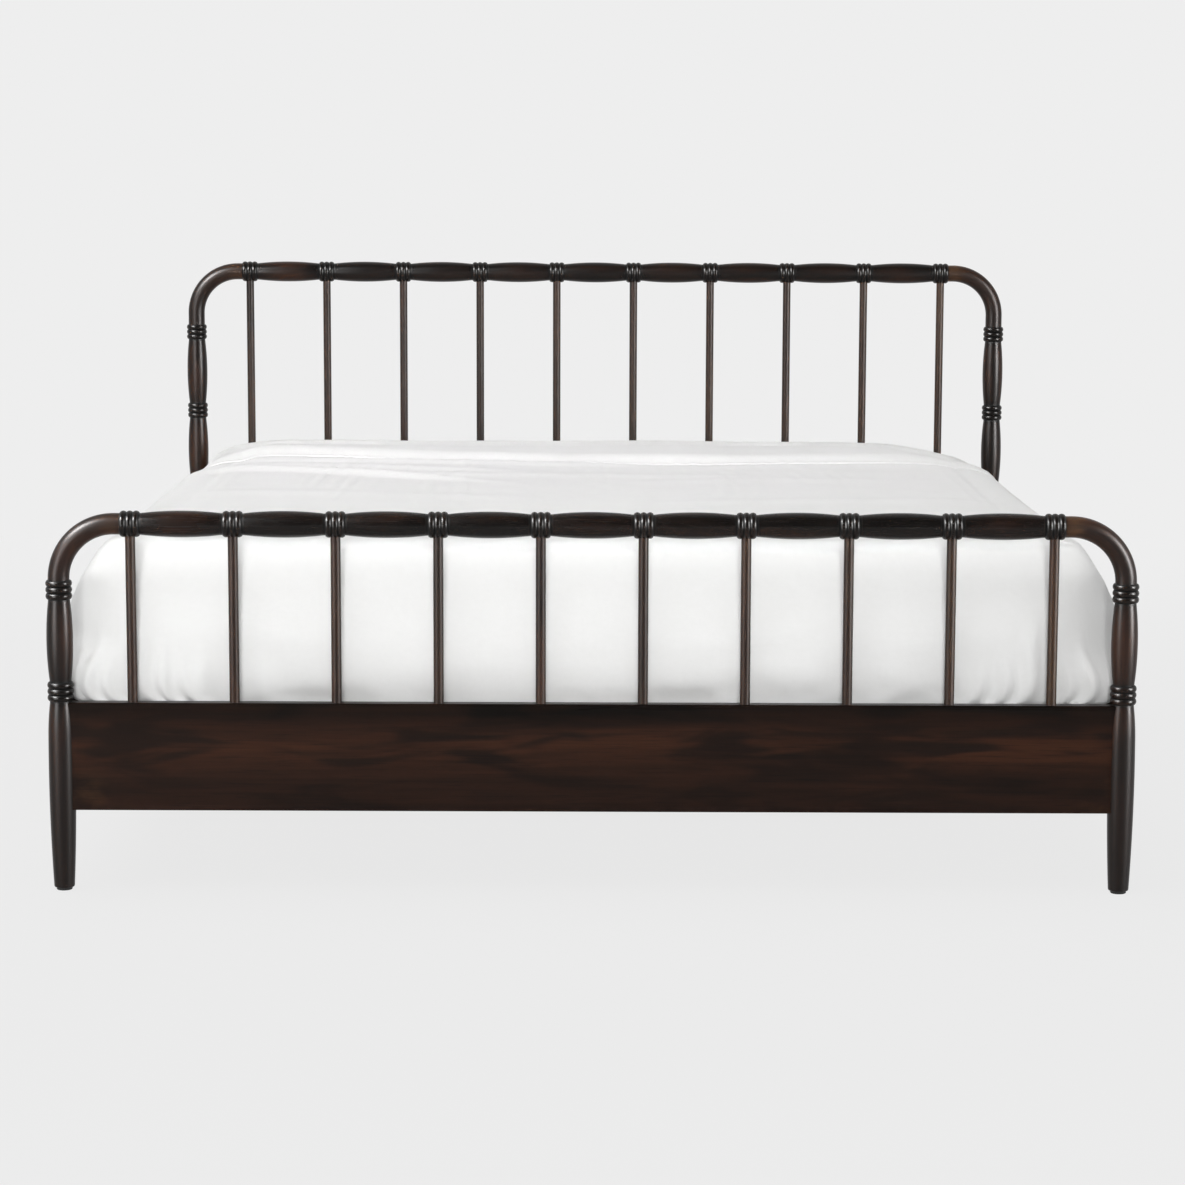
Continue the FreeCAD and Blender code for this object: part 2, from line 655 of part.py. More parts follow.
def hook_plate(board, side):
    """The plate let into the end of a side rail, with two hooks that drop behind the post's."""
    body = new_body(f"{board}_hook_plate_{side}")
    half = "(Sizes.plate_width / 2)"
    low = f"({PLATE_TOP} - Sizes.plate_height)"
    middle = "(Sizes.plate_thickness / 2)"
    sketch = sketch_on(body, "XZ_Plane", middle)
    rectangle(sketch, f"-{half}", half, low, PLATE_TOP)
    extruded(body, "Pad", sketch, "Sizes.plate_thickness")
    neck_end = "(-Sizes.plate_thickness - Sizes.hook_play)"
    tip = f"({neck_end} - Sizes.hook_depth)"
    for z in HOOK_Z:
        top = f"({z} + Sizes.hook_neck / 2)"
        under = f"({z} - Sizes.hook_neck / 2)"
        sketch = sketch_on(body, "YZ_Plane")
        lip = f"({under} - Sizes.hook_lip)"
        corners = [("0", under), ("0", top), (tip, top), (tip, lip), (neck_end, lip), (neck_end, under)]
        outline(sketch, corners)
        extruded(body, "Pad", sketch, "Sizes.hook_thickness")
    spots = [("0", z) for z in PLATE_SCREWS_Z["rail"]]
    through = "(4 * Sizes.plate_thickness)"
    bored(body, "XZ_Plane", spots, "(Sizes.screw_radius + Sizes.fit_gap)", "0", through)
    head = "(2 * Sizes.screw_head_height)"
    bored(body, "XZ_Plane", spots, "(Sizes.screw_head + Sizes.fit_gap)", "0", head)
    turn = 0 if board == "foot" else 180
    along = signed(BOARDS[board], SIDE_RAIL_END_Y)
    return stand(body, signed(SIDES[side], POST_X), along, turn=turn)


def post_plate(board, side):
    """The slotted plate let into the flat of a post, which the hooks go through."""
    body = new_body(f"{board}_post_plate_{side}")
    half = "(Sizes.plate_width / 2)"
    low = f"({PLATE_TOP} - Sizes.plate_height)"
    sketch = sketch_on(body, "XZ_Plane", "(-Sizes.plate_thickness / 2)")
    rectangle(sketch, f"-{half}", half, low, PLATE_TOP)
    extruded(body, "Pad", sketch, "Sizes.plate_thickness")
    slot = "(Sizes.hook_thickness / 2 + Sizes.fit_gap)"
    for z in HOOK_Z:
        foot = f"({z} - Sizes.hook_neck / 2 - Sizes.fit_gap)"
        head = f"({z} + Sizes.hook_neck / 2 + Sizes.hook_lip + Sizes.hook_play)"
        notched(body, "XZ_Plane", f"-{slot}", slot, foot, head, "(4 * Sizes.plate_thickness)")
    spots = [("0", z) for z in PLATE_SCREWS_Z["post"]]
    through = "(4 * Sizes.plate_thickness)"
    bored(body, "XZ_Plane", spots, "(Sizes.screw_radius + Sizes.fit_gap)", "0", through)
    head = "(2 * Sizes.screw_head_height)"
    bored(body, "XZ_Plane", spots, "(Sizes.screw_head + Sizes.fit_gap)", "0", head)
    turn = 0 if board == "foot" else 180
    along = signed(BOARDS[board], SIDE_RAIL_END_Y)
    return stand(body, signed(SIDES[side], POST_X), along, turn=turn)


def floor_glide(board, side):
    body = new_body(f"{board}_glide_{side}")
    thick = "Sizes.glide_thickness"
    tip = f"({thick} + Sizes.nail_length)"
    corners = [
        ("0", "0"),
        ("(Sizes.glide_radius - Sizes.glide_edge)", "0"),
        ("Sizes.glide_radius", "Sizes.glide_edge"),
        ("Sizes.glide_radius", thick),
        ("Sizes.nail_radius", thick),
        ("Sizes.nail_radius", tip),
        ("0", tip),
    ]
    sketch = sketch_on(body, "XZ_Plane")
    outline(sketch, corners)
    swept_round(body, sketch, "V_Axis")
    return stand(body, signed(SIDES[side], POST_X), signed(BOARDS[board], BOARD_Y))


def group(label, members):
    """Identical fittings as one node of separate solids."""
    made = doc.addObject("Part::Compound", label)
    made.Label = label
    made.Links = members
    parts.append(made)


def support(board):
    """A turned leg under the beam, with a levelling stem screwed up into it on a round pad."""
    along = signed(BOARDS[board], "(Sizes.support_spacing / 2)")
    bore = "(Sizes.stem_radius + Sizes.stem_play)"
    stem_foot = "(Sizes.pad_height - Sizes.pad_socket)"
    stem_top = f"({stem_foot} + Sizes.stem_length)"
    nut_foot = f"({stem_foot} + Sizes.nut_lift)"
    nut_room = "(Sizes.nut_height + Sizes.stem_travel + Sizes.nut_clear)"
    base, top = f"({nut_foot} + {nut_room})", BEAM_BOTTOM
    bore_top = f"({stem_top} + Sizes.stem_travel + Sizes.nut_clear)"
    leg = new_body(f"support_leg_{board}")
    sketch = sketch_on(leg, "XZ_Plane")
    tenon_top = f"({top} + Sizes.support_tenon_length)"
    corners = [
        ("0", bore_top),
        (bore, bore_top),
        (bore, base),
        ("(Sizes.support_radius - Sizes.support_taper)", base),
        ("Sizes.support_radius", f"({base} + Sizes.support_taper_height)"),
        ("Sizes.support_radius", top),
        ("Sizes.support_tenon", top),
        ("Sizes.support_tenon", tenon_top),
        ("0", tenon_top),
    ]
    outline(sketch, corners)
    swept_round(leg, sketch, "V_Axis")
    stand(leg, "0", along)
    parts.append(leg)

    stem = new_body(f"leveller_stem_{board}")
    sketch = sketch_on(stem, "XZ_Plane")
    rod = "Sizes.stem_radius"
    outline(sketch, [("0", stem_foot), (rod, stem_foot), (rod, stem_top), ("0", stem_top)])
    swept_round(stem, sketch, "V_Axis")
    hexagon = sketch_on(stem, "XY_Plane", f"({nut_foot} + Sizes.nut_height / 2)")
    flat = "(Sizes.nut_flats / 2)"
    point = "(Sizes.nut_flats / 3^0.5)"
    corners = [
        (flat, f"(-{point} / 2)"),
        (flat, f"({point} / 2)"),
        ("0", point),
        (f"-{flat}", f"({point} / 2)"),
        (f"-{flat}", f"(-{point} / 2)"),
        ("0", f"-{point}"),
    ]
    outline(hexagon, corners)
    extruded(stem, "Pad", hexagon, "Sizes.nut_height")
    stand(stem, "0", along)
    parts.append(stem)

    pad = new_body(f"leveller_pad_{board}")
    sketch = sketch_on(pad, "XZ_Plane")
    socket = "(Sizes.stem_radius + Sizes.pad_play)"
    corners = [
        ("0", "0"),
        ("(Sizes.pad_radius - Sizes.pad_edge)", "0"),
        ("Sizes.pad_radius", "Sizes.pad_edge"),
        ("Sizes.pad_radius", "(Sizes.pad_height / 2)"),
        (f"({socket} + Sizes.pad_collar)", "Sizes.pad_height"),
        (socket, "Sizes.pad_height"),
        (socket, stem_foot),
        ("0", stem_foot),
    ]
    outline(sketch, corners)
    swept_round(pad, sketch, "V_Axis")
    stand(pad, "0", along)
    parts.append(pad)


def wood_screws():
    """Every screw of the frame: slats, hangers and plates. One screw, copied to each place."""
    shank, head = value("Sizes.screw_radius"), value("Sizes.screw_head")
    length, high = value("Sizes.screw_length"), value("Sizes.screw_head_height")
    point = 2 * shank
    rod = Part.makeCylinder(shank, length - point, Vector(0, 0, point - length))
    cone = Part.makeCone(0.3, shank, point, Vector(0, 0, -length))
    cap = Part.makeCylinder(head, high, Vector(0, 0, -high))
    screw = rod.fuse([cone, cap]).removeSplitter()
    placed = []

    def put(x, y, z, out):
        """A screw whose head is flush at a point, out being the way that its head faces."""
        copy = screw.copy()
        copy.Placement = Placement(Vector(x, y, z), Rotation(Vector(0, 0, 1), out))
        placed.append(copy)

    for number in range(int(value("Sizes.slat_count"))):
        for sign in SIDES.values():
            across = sign * value(SLAT_SCREW_X)
            put(across, value(slat_y(number)), value(SLAT_TOP), Vector(0, 0, 1))
    for side in BOARDS.values():
        inner = side * (value(PANEL_INNER_Y) - value("Sizes.hanger_thickness"))
        for sign in SIDES.values():
            for z in HANGER_SCREWS_Z:
                put(sign * value(HANGER_SCREW_X), inner, value(z), Vector(0, -side, 0))
            for z in PLATE_SCREWS_Z["rail"]:
                put(sign * value(POST_X), side * value(SIDE_RAIL_END_Y), value(z), Vector(0, side, 0))
            for z in PLATE_SCREWS_Z["post"]:
                place = side * value(SIDE_RAIL_END_Y)
                put(sign * value(POST_X), place, value(z), Vector(0, -side, 0))
    made = doc.addObject("Part::Feature", "wood_screws")
    made.Label = "wood_screws"
    made.Shape = Part.makeCompound(placed)
    parts.append(made)


def rounded_wire(half_x, half_y, radius, z):
    """A rectangle with round corners, of lines and quarter circles, about the upright axis."""
    edges = []
    spots = [(1, -1), (1, 1), (-1, 1), (-1, -1)]
    slant = radius * 0.5**0.5
    last = None
    start = None
    for x, y in spots:
        centre = Vector(x * (half_x - radius), y * (half_y - radius), z)
        to_x, to_y = centre + Vector(x * radius, 0, 0), centre + Vector(0, y * radius, 0)
        mid = centre + Vector(x * slant, y * slant, 0)
        first, second = (to_y, to_x) if x * y < 0 else (to_x, to_y)
        if last is not None:
            edges.append(Part.LineSegment(last, first).toShape())
        else:
            start = first
        edges.append(Part.Arc(first, mid, second).toShape())
        last = second
    edges.append(Part.LineSegment(last, start).toShape())
    return Part.Wire(edges)


def cushion(grow, lift, bottom, low_sections):
    """The mattress form, grown sideways and lifted at the top, on its own lower sections.
    A section is how far it is drawn in from the full outline, and its height."""
    thick, crown = value("Sizes.mattress_thickness"), value("Sizes.mattress_crown")
    corner, waist = value("Sizes.mattress_corner"), value("Sizes.mattress_waist")
    high_sections = [
        (waist, thick * 0.5),
        (0, thick - 72 + lift / 2),
        (8, thick - 36 + lift),
        (26, thick - 13 + lift),
        (66, thick - 3 + lift),
        (240, thick + crown * 0.55 + lift),
        (600, thick + crown + lift),
    ]
    wires = []
    for inset, z in low_sections + high_sections:
        half_x = value("Sizes.mattress_width") / 2 + grow - inset
        half_y = value("Sizes.mattress_length") / 2 + grow - inset
        radius = max(corner + grow - inset * 0.5, corner * 0.3)
        wires.append(rounded_wire(half_x, half_y, radius, bottom + z))
    return Part.makeLoft(wires, True, True)


def bedding():
    """The mattress, padding round a closed hollow for its springs, and the coverlet over its
    top, sides and foot, folded back once across the head."""
    bottom = value(SLAT_TOP)
    wall = value("Sizes.mattress_wall")
    form = cushion(0, 0, bottom, [(26, 0), (7, 14), (0, 40)])
    core = cushion(-wall, -wall, bottom, [(26, wall), (7, wall + 14), (0, wall + 40)])
    mattress = doc.addObject("Part::Feature", "mattress")
    mattress.Label = "mattress"
    mattress.Shape = form.cut(core)
    parts.append(mattress)

    gap, cloth = value("Sizes.coverlet_gap"), value("Sizes.coverlet_thickness")
    hem = value("Sizes.coverlet_hem")
    rise, spread = value("Sizes.fold_rise"), value("Sizes.fold_spread")
    inner = cushion(gap, gap, bottom, [(20, -5), (7, 14), (0, 40)])
    outer = cushion(gap + cloth, gap + cloth, bottom, [(7, hem), (0, 40)])
    fold = cushion(gap + cloth + spread, gap + cloth + rise, bottom, [(7, hem + 10), (0, 50)])
    head = value("Sizes.mattress_length") / 2
    wide, tall = value("Sizes.mattress_width"), value("Sizes.head_rail_height")
    left, right = head - value("Sizes.fold_depth_left"), head - value("Sizes.fold_depth_right")
    front = [(-wide, left), (-wide / 2, left), (0, head - value("Sizes.fold_depth_middle"))]
    front += [(wide / 2, right), (wide, right), (wide, head), (-wide, head), (-wide, left)]
    outline = Part.makePolygon([Vector(x, y, 0) for x, y in front])
    band = Part.Face(outline).extrude(Vector(0, 0, tall))
    beyond = Part.makeBox(2 * wide, head, tall, Vector(-wide, head, 0))
    cover = outer.fuse(fold.common(band)).cut([inner, beyond])
    coverlet = doc.addObject("Part::Feature", "coverlet")
    coverlet.Label = "coverlet"
    coverlet.Shape = cover.removeSplitter()
    parts.append(coverlet)


def check(item):
    if "Invalid" in item.State or "Error" in item.State:
        raise RuntimeError(f"{item.Label}: {item.State}")
    if item.isDerivedFrom("Part::Feature"):
        if item.Shape.isNull() or not item.Shape.isValid():
            raise RuntimeError(f"{item.Label} has no valid shape")


for board in BOARDS:
    for side in SIDES:
        post(board, side)
        bend(board, side)
    top_rail(board)
    panel(board)
    spindles(board)
    support(board)
for side in SIDES:
    side_rail(side)
    slat_cleat(side)
for number in range(int(value("Sizes.slat_count"))):
    slat(number)
centre_beam()
corners = [(board, side) for board in BOARDS for side in SIDES]
group("rail_hook_plates", [hook_plate(board, side) for board, side in corners])
group("post_plates", [post_plate(board, side) for board, side in corners])
group("floor_glides", [floor_glide(board, side) for board, side in corners])
group("beam_hangers", [beam_hanger(board) for board in BOARDS])
wood_screws()
bedding()
doc.recompute()

for item in doc.Objects:
    check(item)
os.makedirs("parts", exist_ok=True)
for item in parts:
    item.Shape.exportStep(f"parts/{item.Label}.step")
print(len(parts), "parts")
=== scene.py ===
import math

import bmesh
import bpy
import numpy as np
from mathutils import Matrix, Vector, noise


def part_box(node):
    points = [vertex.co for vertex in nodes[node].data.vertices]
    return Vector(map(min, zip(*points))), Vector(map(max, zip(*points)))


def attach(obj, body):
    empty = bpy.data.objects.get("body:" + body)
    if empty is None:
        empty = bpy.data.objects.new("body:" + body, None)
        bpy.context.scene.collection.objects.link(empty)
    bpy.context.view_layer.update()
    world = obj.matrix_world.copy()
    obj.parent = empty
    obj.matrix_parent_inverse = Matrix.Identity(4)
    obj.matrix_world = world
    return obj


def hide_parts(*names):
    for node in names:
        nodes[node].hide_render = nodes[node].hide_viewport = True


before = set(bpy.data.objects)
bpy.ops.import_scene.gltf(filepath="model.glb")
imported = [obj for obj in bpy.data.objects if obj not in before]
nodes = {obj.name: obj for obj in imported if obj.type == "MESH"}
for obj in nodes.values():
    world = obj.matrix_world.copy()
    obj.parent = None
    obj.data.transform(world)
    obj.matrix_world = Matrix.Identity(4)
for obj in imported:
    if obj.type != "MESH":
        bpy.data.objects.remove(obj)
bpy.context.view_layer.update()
scene = bpy.context.scene
scene.view_settings.view_transform = "Standard"

# Sizes of the turned work, in metres, as the solids have them.
POST_X = 1.005
BOARD_Y = 1.045
BEAD = 0.025
GROOVE = 0.022
NECK = 0.02025
BARREL = 0.025
RING = 0.012
GROUP = 3 * RING
BEND = 0.105
BEND_RAIL_RUN = 0.013
RAIL_END_X = POST_X - BEND - BEND_RAIL_RUN
SPINDLES = 10
PITCH = (2 * RAIL_END_X - GROUP) / (SPINDLES - 1)
SPINDLE = 0.0095
GLIDE = 0.005
FOOT = 0.0195
FOOT_ROUND = 0.003
SHOULDER = 0.075
# How worn each spindle is, with the wear painted on its front-right side as a paler lit side,
# and how warm each barrel of a rail, from left to right, and how thick the stain lies,
# from 0 to 1.
SPINDLE_WEAR_AND_LIT_SIDE = (0.35, 0.15, 0.20, 0.25, 0.20, 0.35, 0.60, 0.45, 0.65, 1.0)
RAIL_WARMTH = (1.5, 0.30, 0.30, 0.40, 0.30, 0.40, 0.40, 0.35, 0.50)
POST_STAIN, BEND_STAIN, SPINDLE_STAIN = 0.45, 0.3, 0.1
BOARDS = {
    "foot": {"y": -BOARD_Y, "rail": 0.702, "pitch": 0.194, "groups": 2, "run": 0.002, "stain": 1.0},
    "head": {"y": BOARD_Y, "rail": 1.100, "pitch": 0.198, "groups": 3, "run": 0.029, "stain": 0.65},
}
SIDES = {"left": -1, "right": 1}
for board in BOARDS.values():
    board["post_top"] = board["rail"] - BEND - board["run"]
    board["low_bead"] = board["post_top"] - GROUP - (board["groups"] - 1) * board["pitch"]


def new_piece(name, points, faces):
    mesh = bpy.data.meshes.new(name)
    mesh.from_pydata([tuple(p) for p in points], [], faces)
    mesh.update()
    made = bpy.data.objects.new(name, mesh)
    scene.collection.objects.link(made)
    return made


def outward(piece):
    """Turn every face of a closed piece to look outward."""
    shell = bmesh.new()
    shell.from_mesh(piece.data)
    bmesh.ops.recalc_face_normals(shell, faces=shell.faces)
    shell.to_mesh(piece.data)
    shell.free()


def keep_numbers(piece, name, numbers):
    """Keep one number or one vector for each point of a piece, for its finish to read."""
    numbers = np.asarray(numbers, np.float32)
    vector = numbers.ndim == 2
    kind = "FLOAT_VECTOR" if vector else "FLOAT"
    layer = piece.data.attributes.new(name, kind, "POINT")
    layer.data.foreach_set("vector" if vector else "value", numbers.ravel())


# Turned profiles: places along the axis with a radius each.


def bowed(start, end, bulge, steps):
    """Points from start to end, each (along, radius), on an arc that bows out by bulge."""
    a, b = np.array(start, float), np.array(end, float)
    chord = np.linalg.norm(b - a)
    radius = (chord**2 / 4 + bulge**2) / (2 * bulge)
    half = math.asin(chord / 2 / radius)
    along = (b - a) / chord
    out = np.array([-along[1], along[0]])
    centre = (a + b) / 2 + out * (bulge - radius)
    turns = np.linspace(-half, half, steps + 1)
    return [centre + radius * (math.sin(t) * along + math.cos(t) * out) for t in turns]


def beads(start):
    line = []
    for ring in range(3):
        low = start + ring * RING
        line += bowed((low, GROOVE), (low + RING, GROOVE), BEAD - GROOVE, 12)
    return line


def barrel(start, end):
    return bowed((start, NECK), (end, NECK), BARREL - NECK, 26)


def group_starts_of_post(board):
    return [board["low_bead"] + n * board["pitch"] for n in range(board["groups"])]


def post_profile(board):
    low = board["low_bead"]
    line = bowed((GLIDE, FOOT - FOOT_ROUND), (GLIDE + FOOT_ROUND, FOOT), 0.29 * FOOT_ROUND, 5)
    line += bowed((GLIDE + FOOT_ROUND, FOOT), (low - SHOULDER, BARREL), 0.0023, 44)
    line += bowed((low - SHOULDER, BARREL), (low, NECK), 0.0012, 14)
    starts = group_starts_of_post(board)
    for number, start in enumerate(starts):
        if number:
            line += barrel(starts[number - 1] + GROUP, start)
        line += beads(start)
    return line


def rail_profile():
    line = []
    for number in range(SPINDLES):
        start = -RAIL_END_X + number * PITCH
        if number:
            line += barrel(start - PITCH + GROUP, start)
        line += beads(start)
    return line


def near(places, points, width):
    """1 at the points, falling off to 0 over about the width."""
    gaps = np.abs(np.asarray(places)[:, None] - np.asarray(points)[None, :]).min(axis=1)
    return np.exp(-((gaps / width) ** 2))


def bead_marks(places, starts, turns):
    """How deep in a groove each place is, which sets the painted shade in the grooves, how much thicker the
    stain lies, and the rub on crests.
    """
    grooves = [s + n * RING for s in starts for n in range(4)]
    crests = [s + (n + 0.5) * RING for s in starts for n in range(3)]
    rub = 0.05 * near(places, crests, 0.0022)
    thicker = 0.6 * near(places, [s + GROUP / 2 for s in starts], 0.022)
    # The first share marks the grooves, where shade is painted in.
    return near(places, grooves, 0.0024), thicker, np.repeat(rub[:, None], len(turns), 1)


def turned(name, profile, spine, marks, seed, stain, around=72):
    """A round piece: rings of the profile's radii set along a spine, which gives a centre and
    two cross directions for each place. marks gives the groove mask for the painted shade in the
    grooves and the added stain for a place, and the rub and warmth for a place and a turn. stain
    is how thick it lies, from 0 to 1."""
    profile = np.array(profile)
    turns = np.arange(around) * 2 * math.pi / around
    points, wood = [], []
    drift = Vector((math.sin(seed * 12.9) * 3, math.cos(seed * 7.3) * 3, seed * 1.7))
    for place, radius in profile:
        centre, a, b = spine(place)
        for turn in turns:
            c, s = math.cos(turn) * radius, math.sin(turn) * radius
            points.append(centre + a * c + b * s)
            wood.append((c + drift.x, s + drift.y, place + drift.z))
    groove_shade_mask, thicker, rub, blush = marks(profile[:, 0], turns)
    count = len(profile)
    faces = []
    for i in range(count - 1):
        for j in range(around):
            k = (j + 1) % around
            faces.append((i * around + j, i * around + k, (i + 1) * around + k, (i + 1) * around + j))
    faces.append(tuple(range(around)))
    faces.append(tuple((count - 1) * around + j for j in range(around)))
    made = new_piece(name, points, faces)
    outward(made)
    made.data.shade_smooth()
    made.data.set_sharp_from_angle(angle=math.radians(50))
    keep_numbers(made, "wood_place", wood)
    # The groove share paints shade into the bead grooves.
    keep_numbers(made, "groove_shade", np.repeat(groove_shade_mask, around))
    keep_numbers(made, "rub", rub.ravel())
    keep_numbers(made, "warm", blush.ravel())
    keep_numbers(made, "stain", np.repeat(np.clip(stain + thicker, 0, 1), around))
    return made


def straight(origin, along, a):
    origin, along, a = Vector(origin), Vector(along), Vector(a)
    b = along.cross(a)
    return lambda place: (origin + along * place, a, b)


def post_marks(board):
    starts = group_starts_of_post(board)
    middles = [(s + GROUP + t) / 2 for s, t in zip(starts, starts[1:])]

    def marks(places, turns):
        blush = near(places, middles, 0.06) + 0.7 * near(places, [starts[0] - 0.03], 0.05)
        return *bead_marks(places, starts, turns), np.repeat(blush[:, None], len(turns), 1)

    return marks


def rail_marks(places, turns):
    starts = [-RAIL_END_X + n * PITCH for n in range(SPINDLES)]
    middles = [(s + GROUP + t) / 2 for s, t in zip(starts, starts[1:])]
    blush = np.zeros((len(places), len(turns)))
    for middle, warmth in zip(middles, RAIL_WARMTH):
        highest = 0.7 if middle < 0.35 else 2.2
        facing = 0.55 + 0.45 * np.cos(turns - highest)
        blush += warmth * near(places, [middle], 0.05)[:, None] * facing[None, :]
    return *bead_marks(places, starts, turns), blush


def bend_spine(board, side):
    """From the top of the post up and round to the end of the rail."""
    sign = SIDES[side]
    foot = Vector((sign * POST_X, board["y"], board["post_top"]))
    inward, up, across = Vector((-sign, 0, 0)), Vector((0, 0, 1)), Vector((0, 1, 0))
    run, arc = board["run"], BEND * math.pi / 2

    def spine(place):
        if place <= run:
            centre, ahead = foot + up * place, up
        elif place <= run + arc:
            t = (place - run) / BEND
            hub = foot + up * run + inward * BEND
            centre = hub - inward * BEND * math.cos(t) + up * BEND * math.sin(t)
            ahead = inward * math.sin(t) + up * math.cos(t)
        else:
            centre = foot + up * (run + BEND) + inward * (BEND + place - run - arc)
            ahead = inward
        return centre, across, ahead.cross(across)

    return spine, run + arc + BEND_RAIL_RUN


turned_work = []


def set_in(piece, node):
    """A finer turned piece in the place of the solid it stands for."""
    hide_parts(node)
    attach(piece, "frame")
    turned_work.append(piece)


seed = 0
for name, board in BOARDS.items():
    y = board["y"]
    for side, sign in SIDES.items():
        seed += 1
        spine = straight((sign * POST_X, y, 0), (0, 0, 1), (0, -1, 0))
        profile, marks = post_profile(board), post_marks(board)
        piece = turned(f"turned_{name}_post_{side}", profile, spine, marks, seed, POST_STAIN)
        set_in(piece, f"{name}_post_{side}")

        spine, length = bend_spine(board, side)
        places = np.linspace(0, length, 48)

        def bend_marks(at, turns):
            blush = 0.55 * near(at, [length * 0.5], 0.06) + 1.0 * near(at, [length - 0.012], 0.03)
            worn = (1.0 if sign > 0 else 0.45) * near(at, [length - 0.016], 0.018)
            worn = worn[:, None] * (0.5 - 0.5 * np.cos(turns - 0.4))[None, :]
            plain = np.zeros(len(at))
            return plain, plain, worn, np.repeat(blush[:, None], len(turns), 1)

        profile = [(p, NECK) for p in places]
        piece = turned(f"turned_{name}_bend_{side}", profile, spine, bend_marks, seed + 20, BEND_STAIN)
        set_in(piece, f"{name}_bend_{side}")
    seed += 1
    spine = straight((0, y, board["rail"]), (1, 0, 0), (0, 0, 1))
    piece = turned(f"turned_{name}_top_rail", rail_profile(), spine, rail_marks, seed, board["stain"])
    set_in(piece, f"{name}_top_rail")
    for number in range(SPINDLES):
        seed += 1
        node = f"{name}_spindle_{number + 1:02d}"
        low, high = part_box(node)
        x = (low.x + high.x) / 2
        places = np.linspace(low.z, high.z, 24)

        def spindle_marks(at, turns):
            blush = 0.45 + 0.35 * near(at, [low.z + 0.06, high.z - 0.05], 0.05)
            tone = 0.6 + 0.4 * np.sin(turns + number * 1.7)
            worn = SPINDLE_WEAR_AND_LIT_SIDE[number] * (0.6 + 0.4 * np.sin(at * 11 + number))
            # Wear and painted light: the paler rub lies on the front-right side of every spindle, as if lit
            # there.
            facing = 0.5 + 0.5 * np.cos(turns - 0.8)
            plain = np.zeros(len(at))
            return plain, plain, worn[:, None] * facing[None, :], blush[:, None] * tone[None, :]

        spine = straight((x, y, 0), (0, 0, 1), (0, -1, 0))
        profile = [(p, SPINDLE) for p in places]
        piece = turned(f"turned_{node}", profile, spine, spindle_marks, seed, SPINDLE_STAIN, 40)
        set_in(piece, node)


# The mattress: a padded block with rounded edges.
BED_X = 0.958
BED_Y = 1.004
BED_LOW = 0.311
BED_HIGH = 0.647
BED_CORNER = 0.075


def rounded_loop(half_x, half_y, radius, step):
    """Points round a rectangle with round corners, anticlockwise, about a step apart."""
    loop = []
    for number, (x, y) in enumerate(((1, 1), (-1, 1), (-1, -1), (1, -1))):
        centre = np.array((x * (half_x - radius), y * (half_y - radius)))
        turns = np.linspace(number, number + 1, max(3, int(radius * 1.6 / step)) + 1) * math.pi / 2
        corner = [centre + radius * np.array((math.cos(t), math.sin(t))) for t in turns]
        if loop:
            gap = corner[0] - loop[-1]
            count = int(np.linalg.norm(gap) / step)
            loop += [loop[-1] + gap * (n + 1) / (count + 1) for n in range(count)]
        loop += corner
    gap = loop[0] - loop[-1]
    count = int(np.linalg.norm(gap) / step)
    loop += [loop[-1] + gap * (n + 1) / (count + 1) for n in range(count)]
    return np.array(loop)


def block(name, sections):
    """A closed block from sections of (inset, height), bottom to top."""
    points, faces = [], []
    outline = rounded_loop(BED_X, BED_Y, BED_CORNER, 0.05)
    for inset, z in sections:
        scale = np.array(((BED_X - inset) / BED_X, (BED_Y - inset) / BED_Y))
        points += [(x, y, z) for x, y in outline * scale]
    count = len(points) // len(sections)
    for i in range(len(sections) - 1):
        for j in range(count):
            k = (j + 1) % count
            faces.append((i * count + j, i * count + k, (i + 1) * count + k, (i + 1) * count + j))
    faces.append(tuple(range(count))[::-1])
    faces.append(tuple((len(sections) - 1) * count + j for j in range(count)))
    return new_piece(name, points, faces)


def points_of(mesh):
    flat = np.zeros(len(mesh.vertices) * 3)
    mesh.vertices.foreach_get("co", flat)
    return flat.reshape(-1, 3)


def set_points(mesh, points):
    mesh.vertices.foreach_set("co", np.asarray(points, float).ravel())
    mesh.update()


def settled(piece, frames, cap, prepare):
    """Run the cloth on a piece for some frames and keep the result, no point moved more than cap."""
    start = points_of(piece.data)
    cloth = piece.modifiers.new("cloth", "CLOTH")
    cloth.point_cache.frame_start = 1
    cloth.point_cache.frame_end = frames
    prepare(cloth.settings, cloth.collision_settings)
    for number in range(1, frames + 1):
        scene.frame_set(number)
    whole = bpy.context.evaluated_depsgraph_get()
    moved = points_of(piece.evaluated_get(whole).data) - start
    piece.modifiers.remove(cloth)
    scene.frame_set(1)
    length = np.linalg.norm(moved, axis=1)
    share = np.minimum(1, cap / np.maximum(length, 1e-9))
    set_points(piece.data, start + moved * share[:, None])


def remeshed(piece, voxel):
    made = piece.modifiers.new("remesh", "REMESH")
    made.mode = "VOXEL"
    made.voxel_size = voxel
    whole = bpy.context.evaluated_depsgraph_get()
    mesh = bpy.data.meshes.new_from_object(piece.evaluated_get(whole))
    piece.modifiers.remove(made)
    piece.data = mesh


mattress = block("mattress_pad", [
    (0.075, BED_LOW), (0.052, BED_LOW + 0.016), (0.038, BED_LOW + 0.050), (0.024, BED_LOW + 0.110),
    (0.006, BED_HIGH - 0.120), (0.012, BED_HIGH - 0.085), (0.026, BED_HIGH - 0.040),
    (0.056, BED_HIGH - 0.012), (0.110, BED_HIGH),
])
remeshed(mattress, 0.03)


def stuffed(cloth, touch):
    cloth.quality = 4
    cloth.mass = 0.4
    cloth.tension_stiffness = cloth.compression_stiffness = 40
    cloth.bending_stiffness = 5
    cloth.use_pressure = True
    cloth.uniform_pressure_force = 4
    cloth.effector_weights.gravity = 0
    touch.use_collision = False


settled(mattress, 12, 0.006, stuffed)


def smooth(low, high, values):
    t = np.clip((np.asarray(values, float) - low) / (high - low), 0, 1)
    return t * t * (3 - 2 * t)


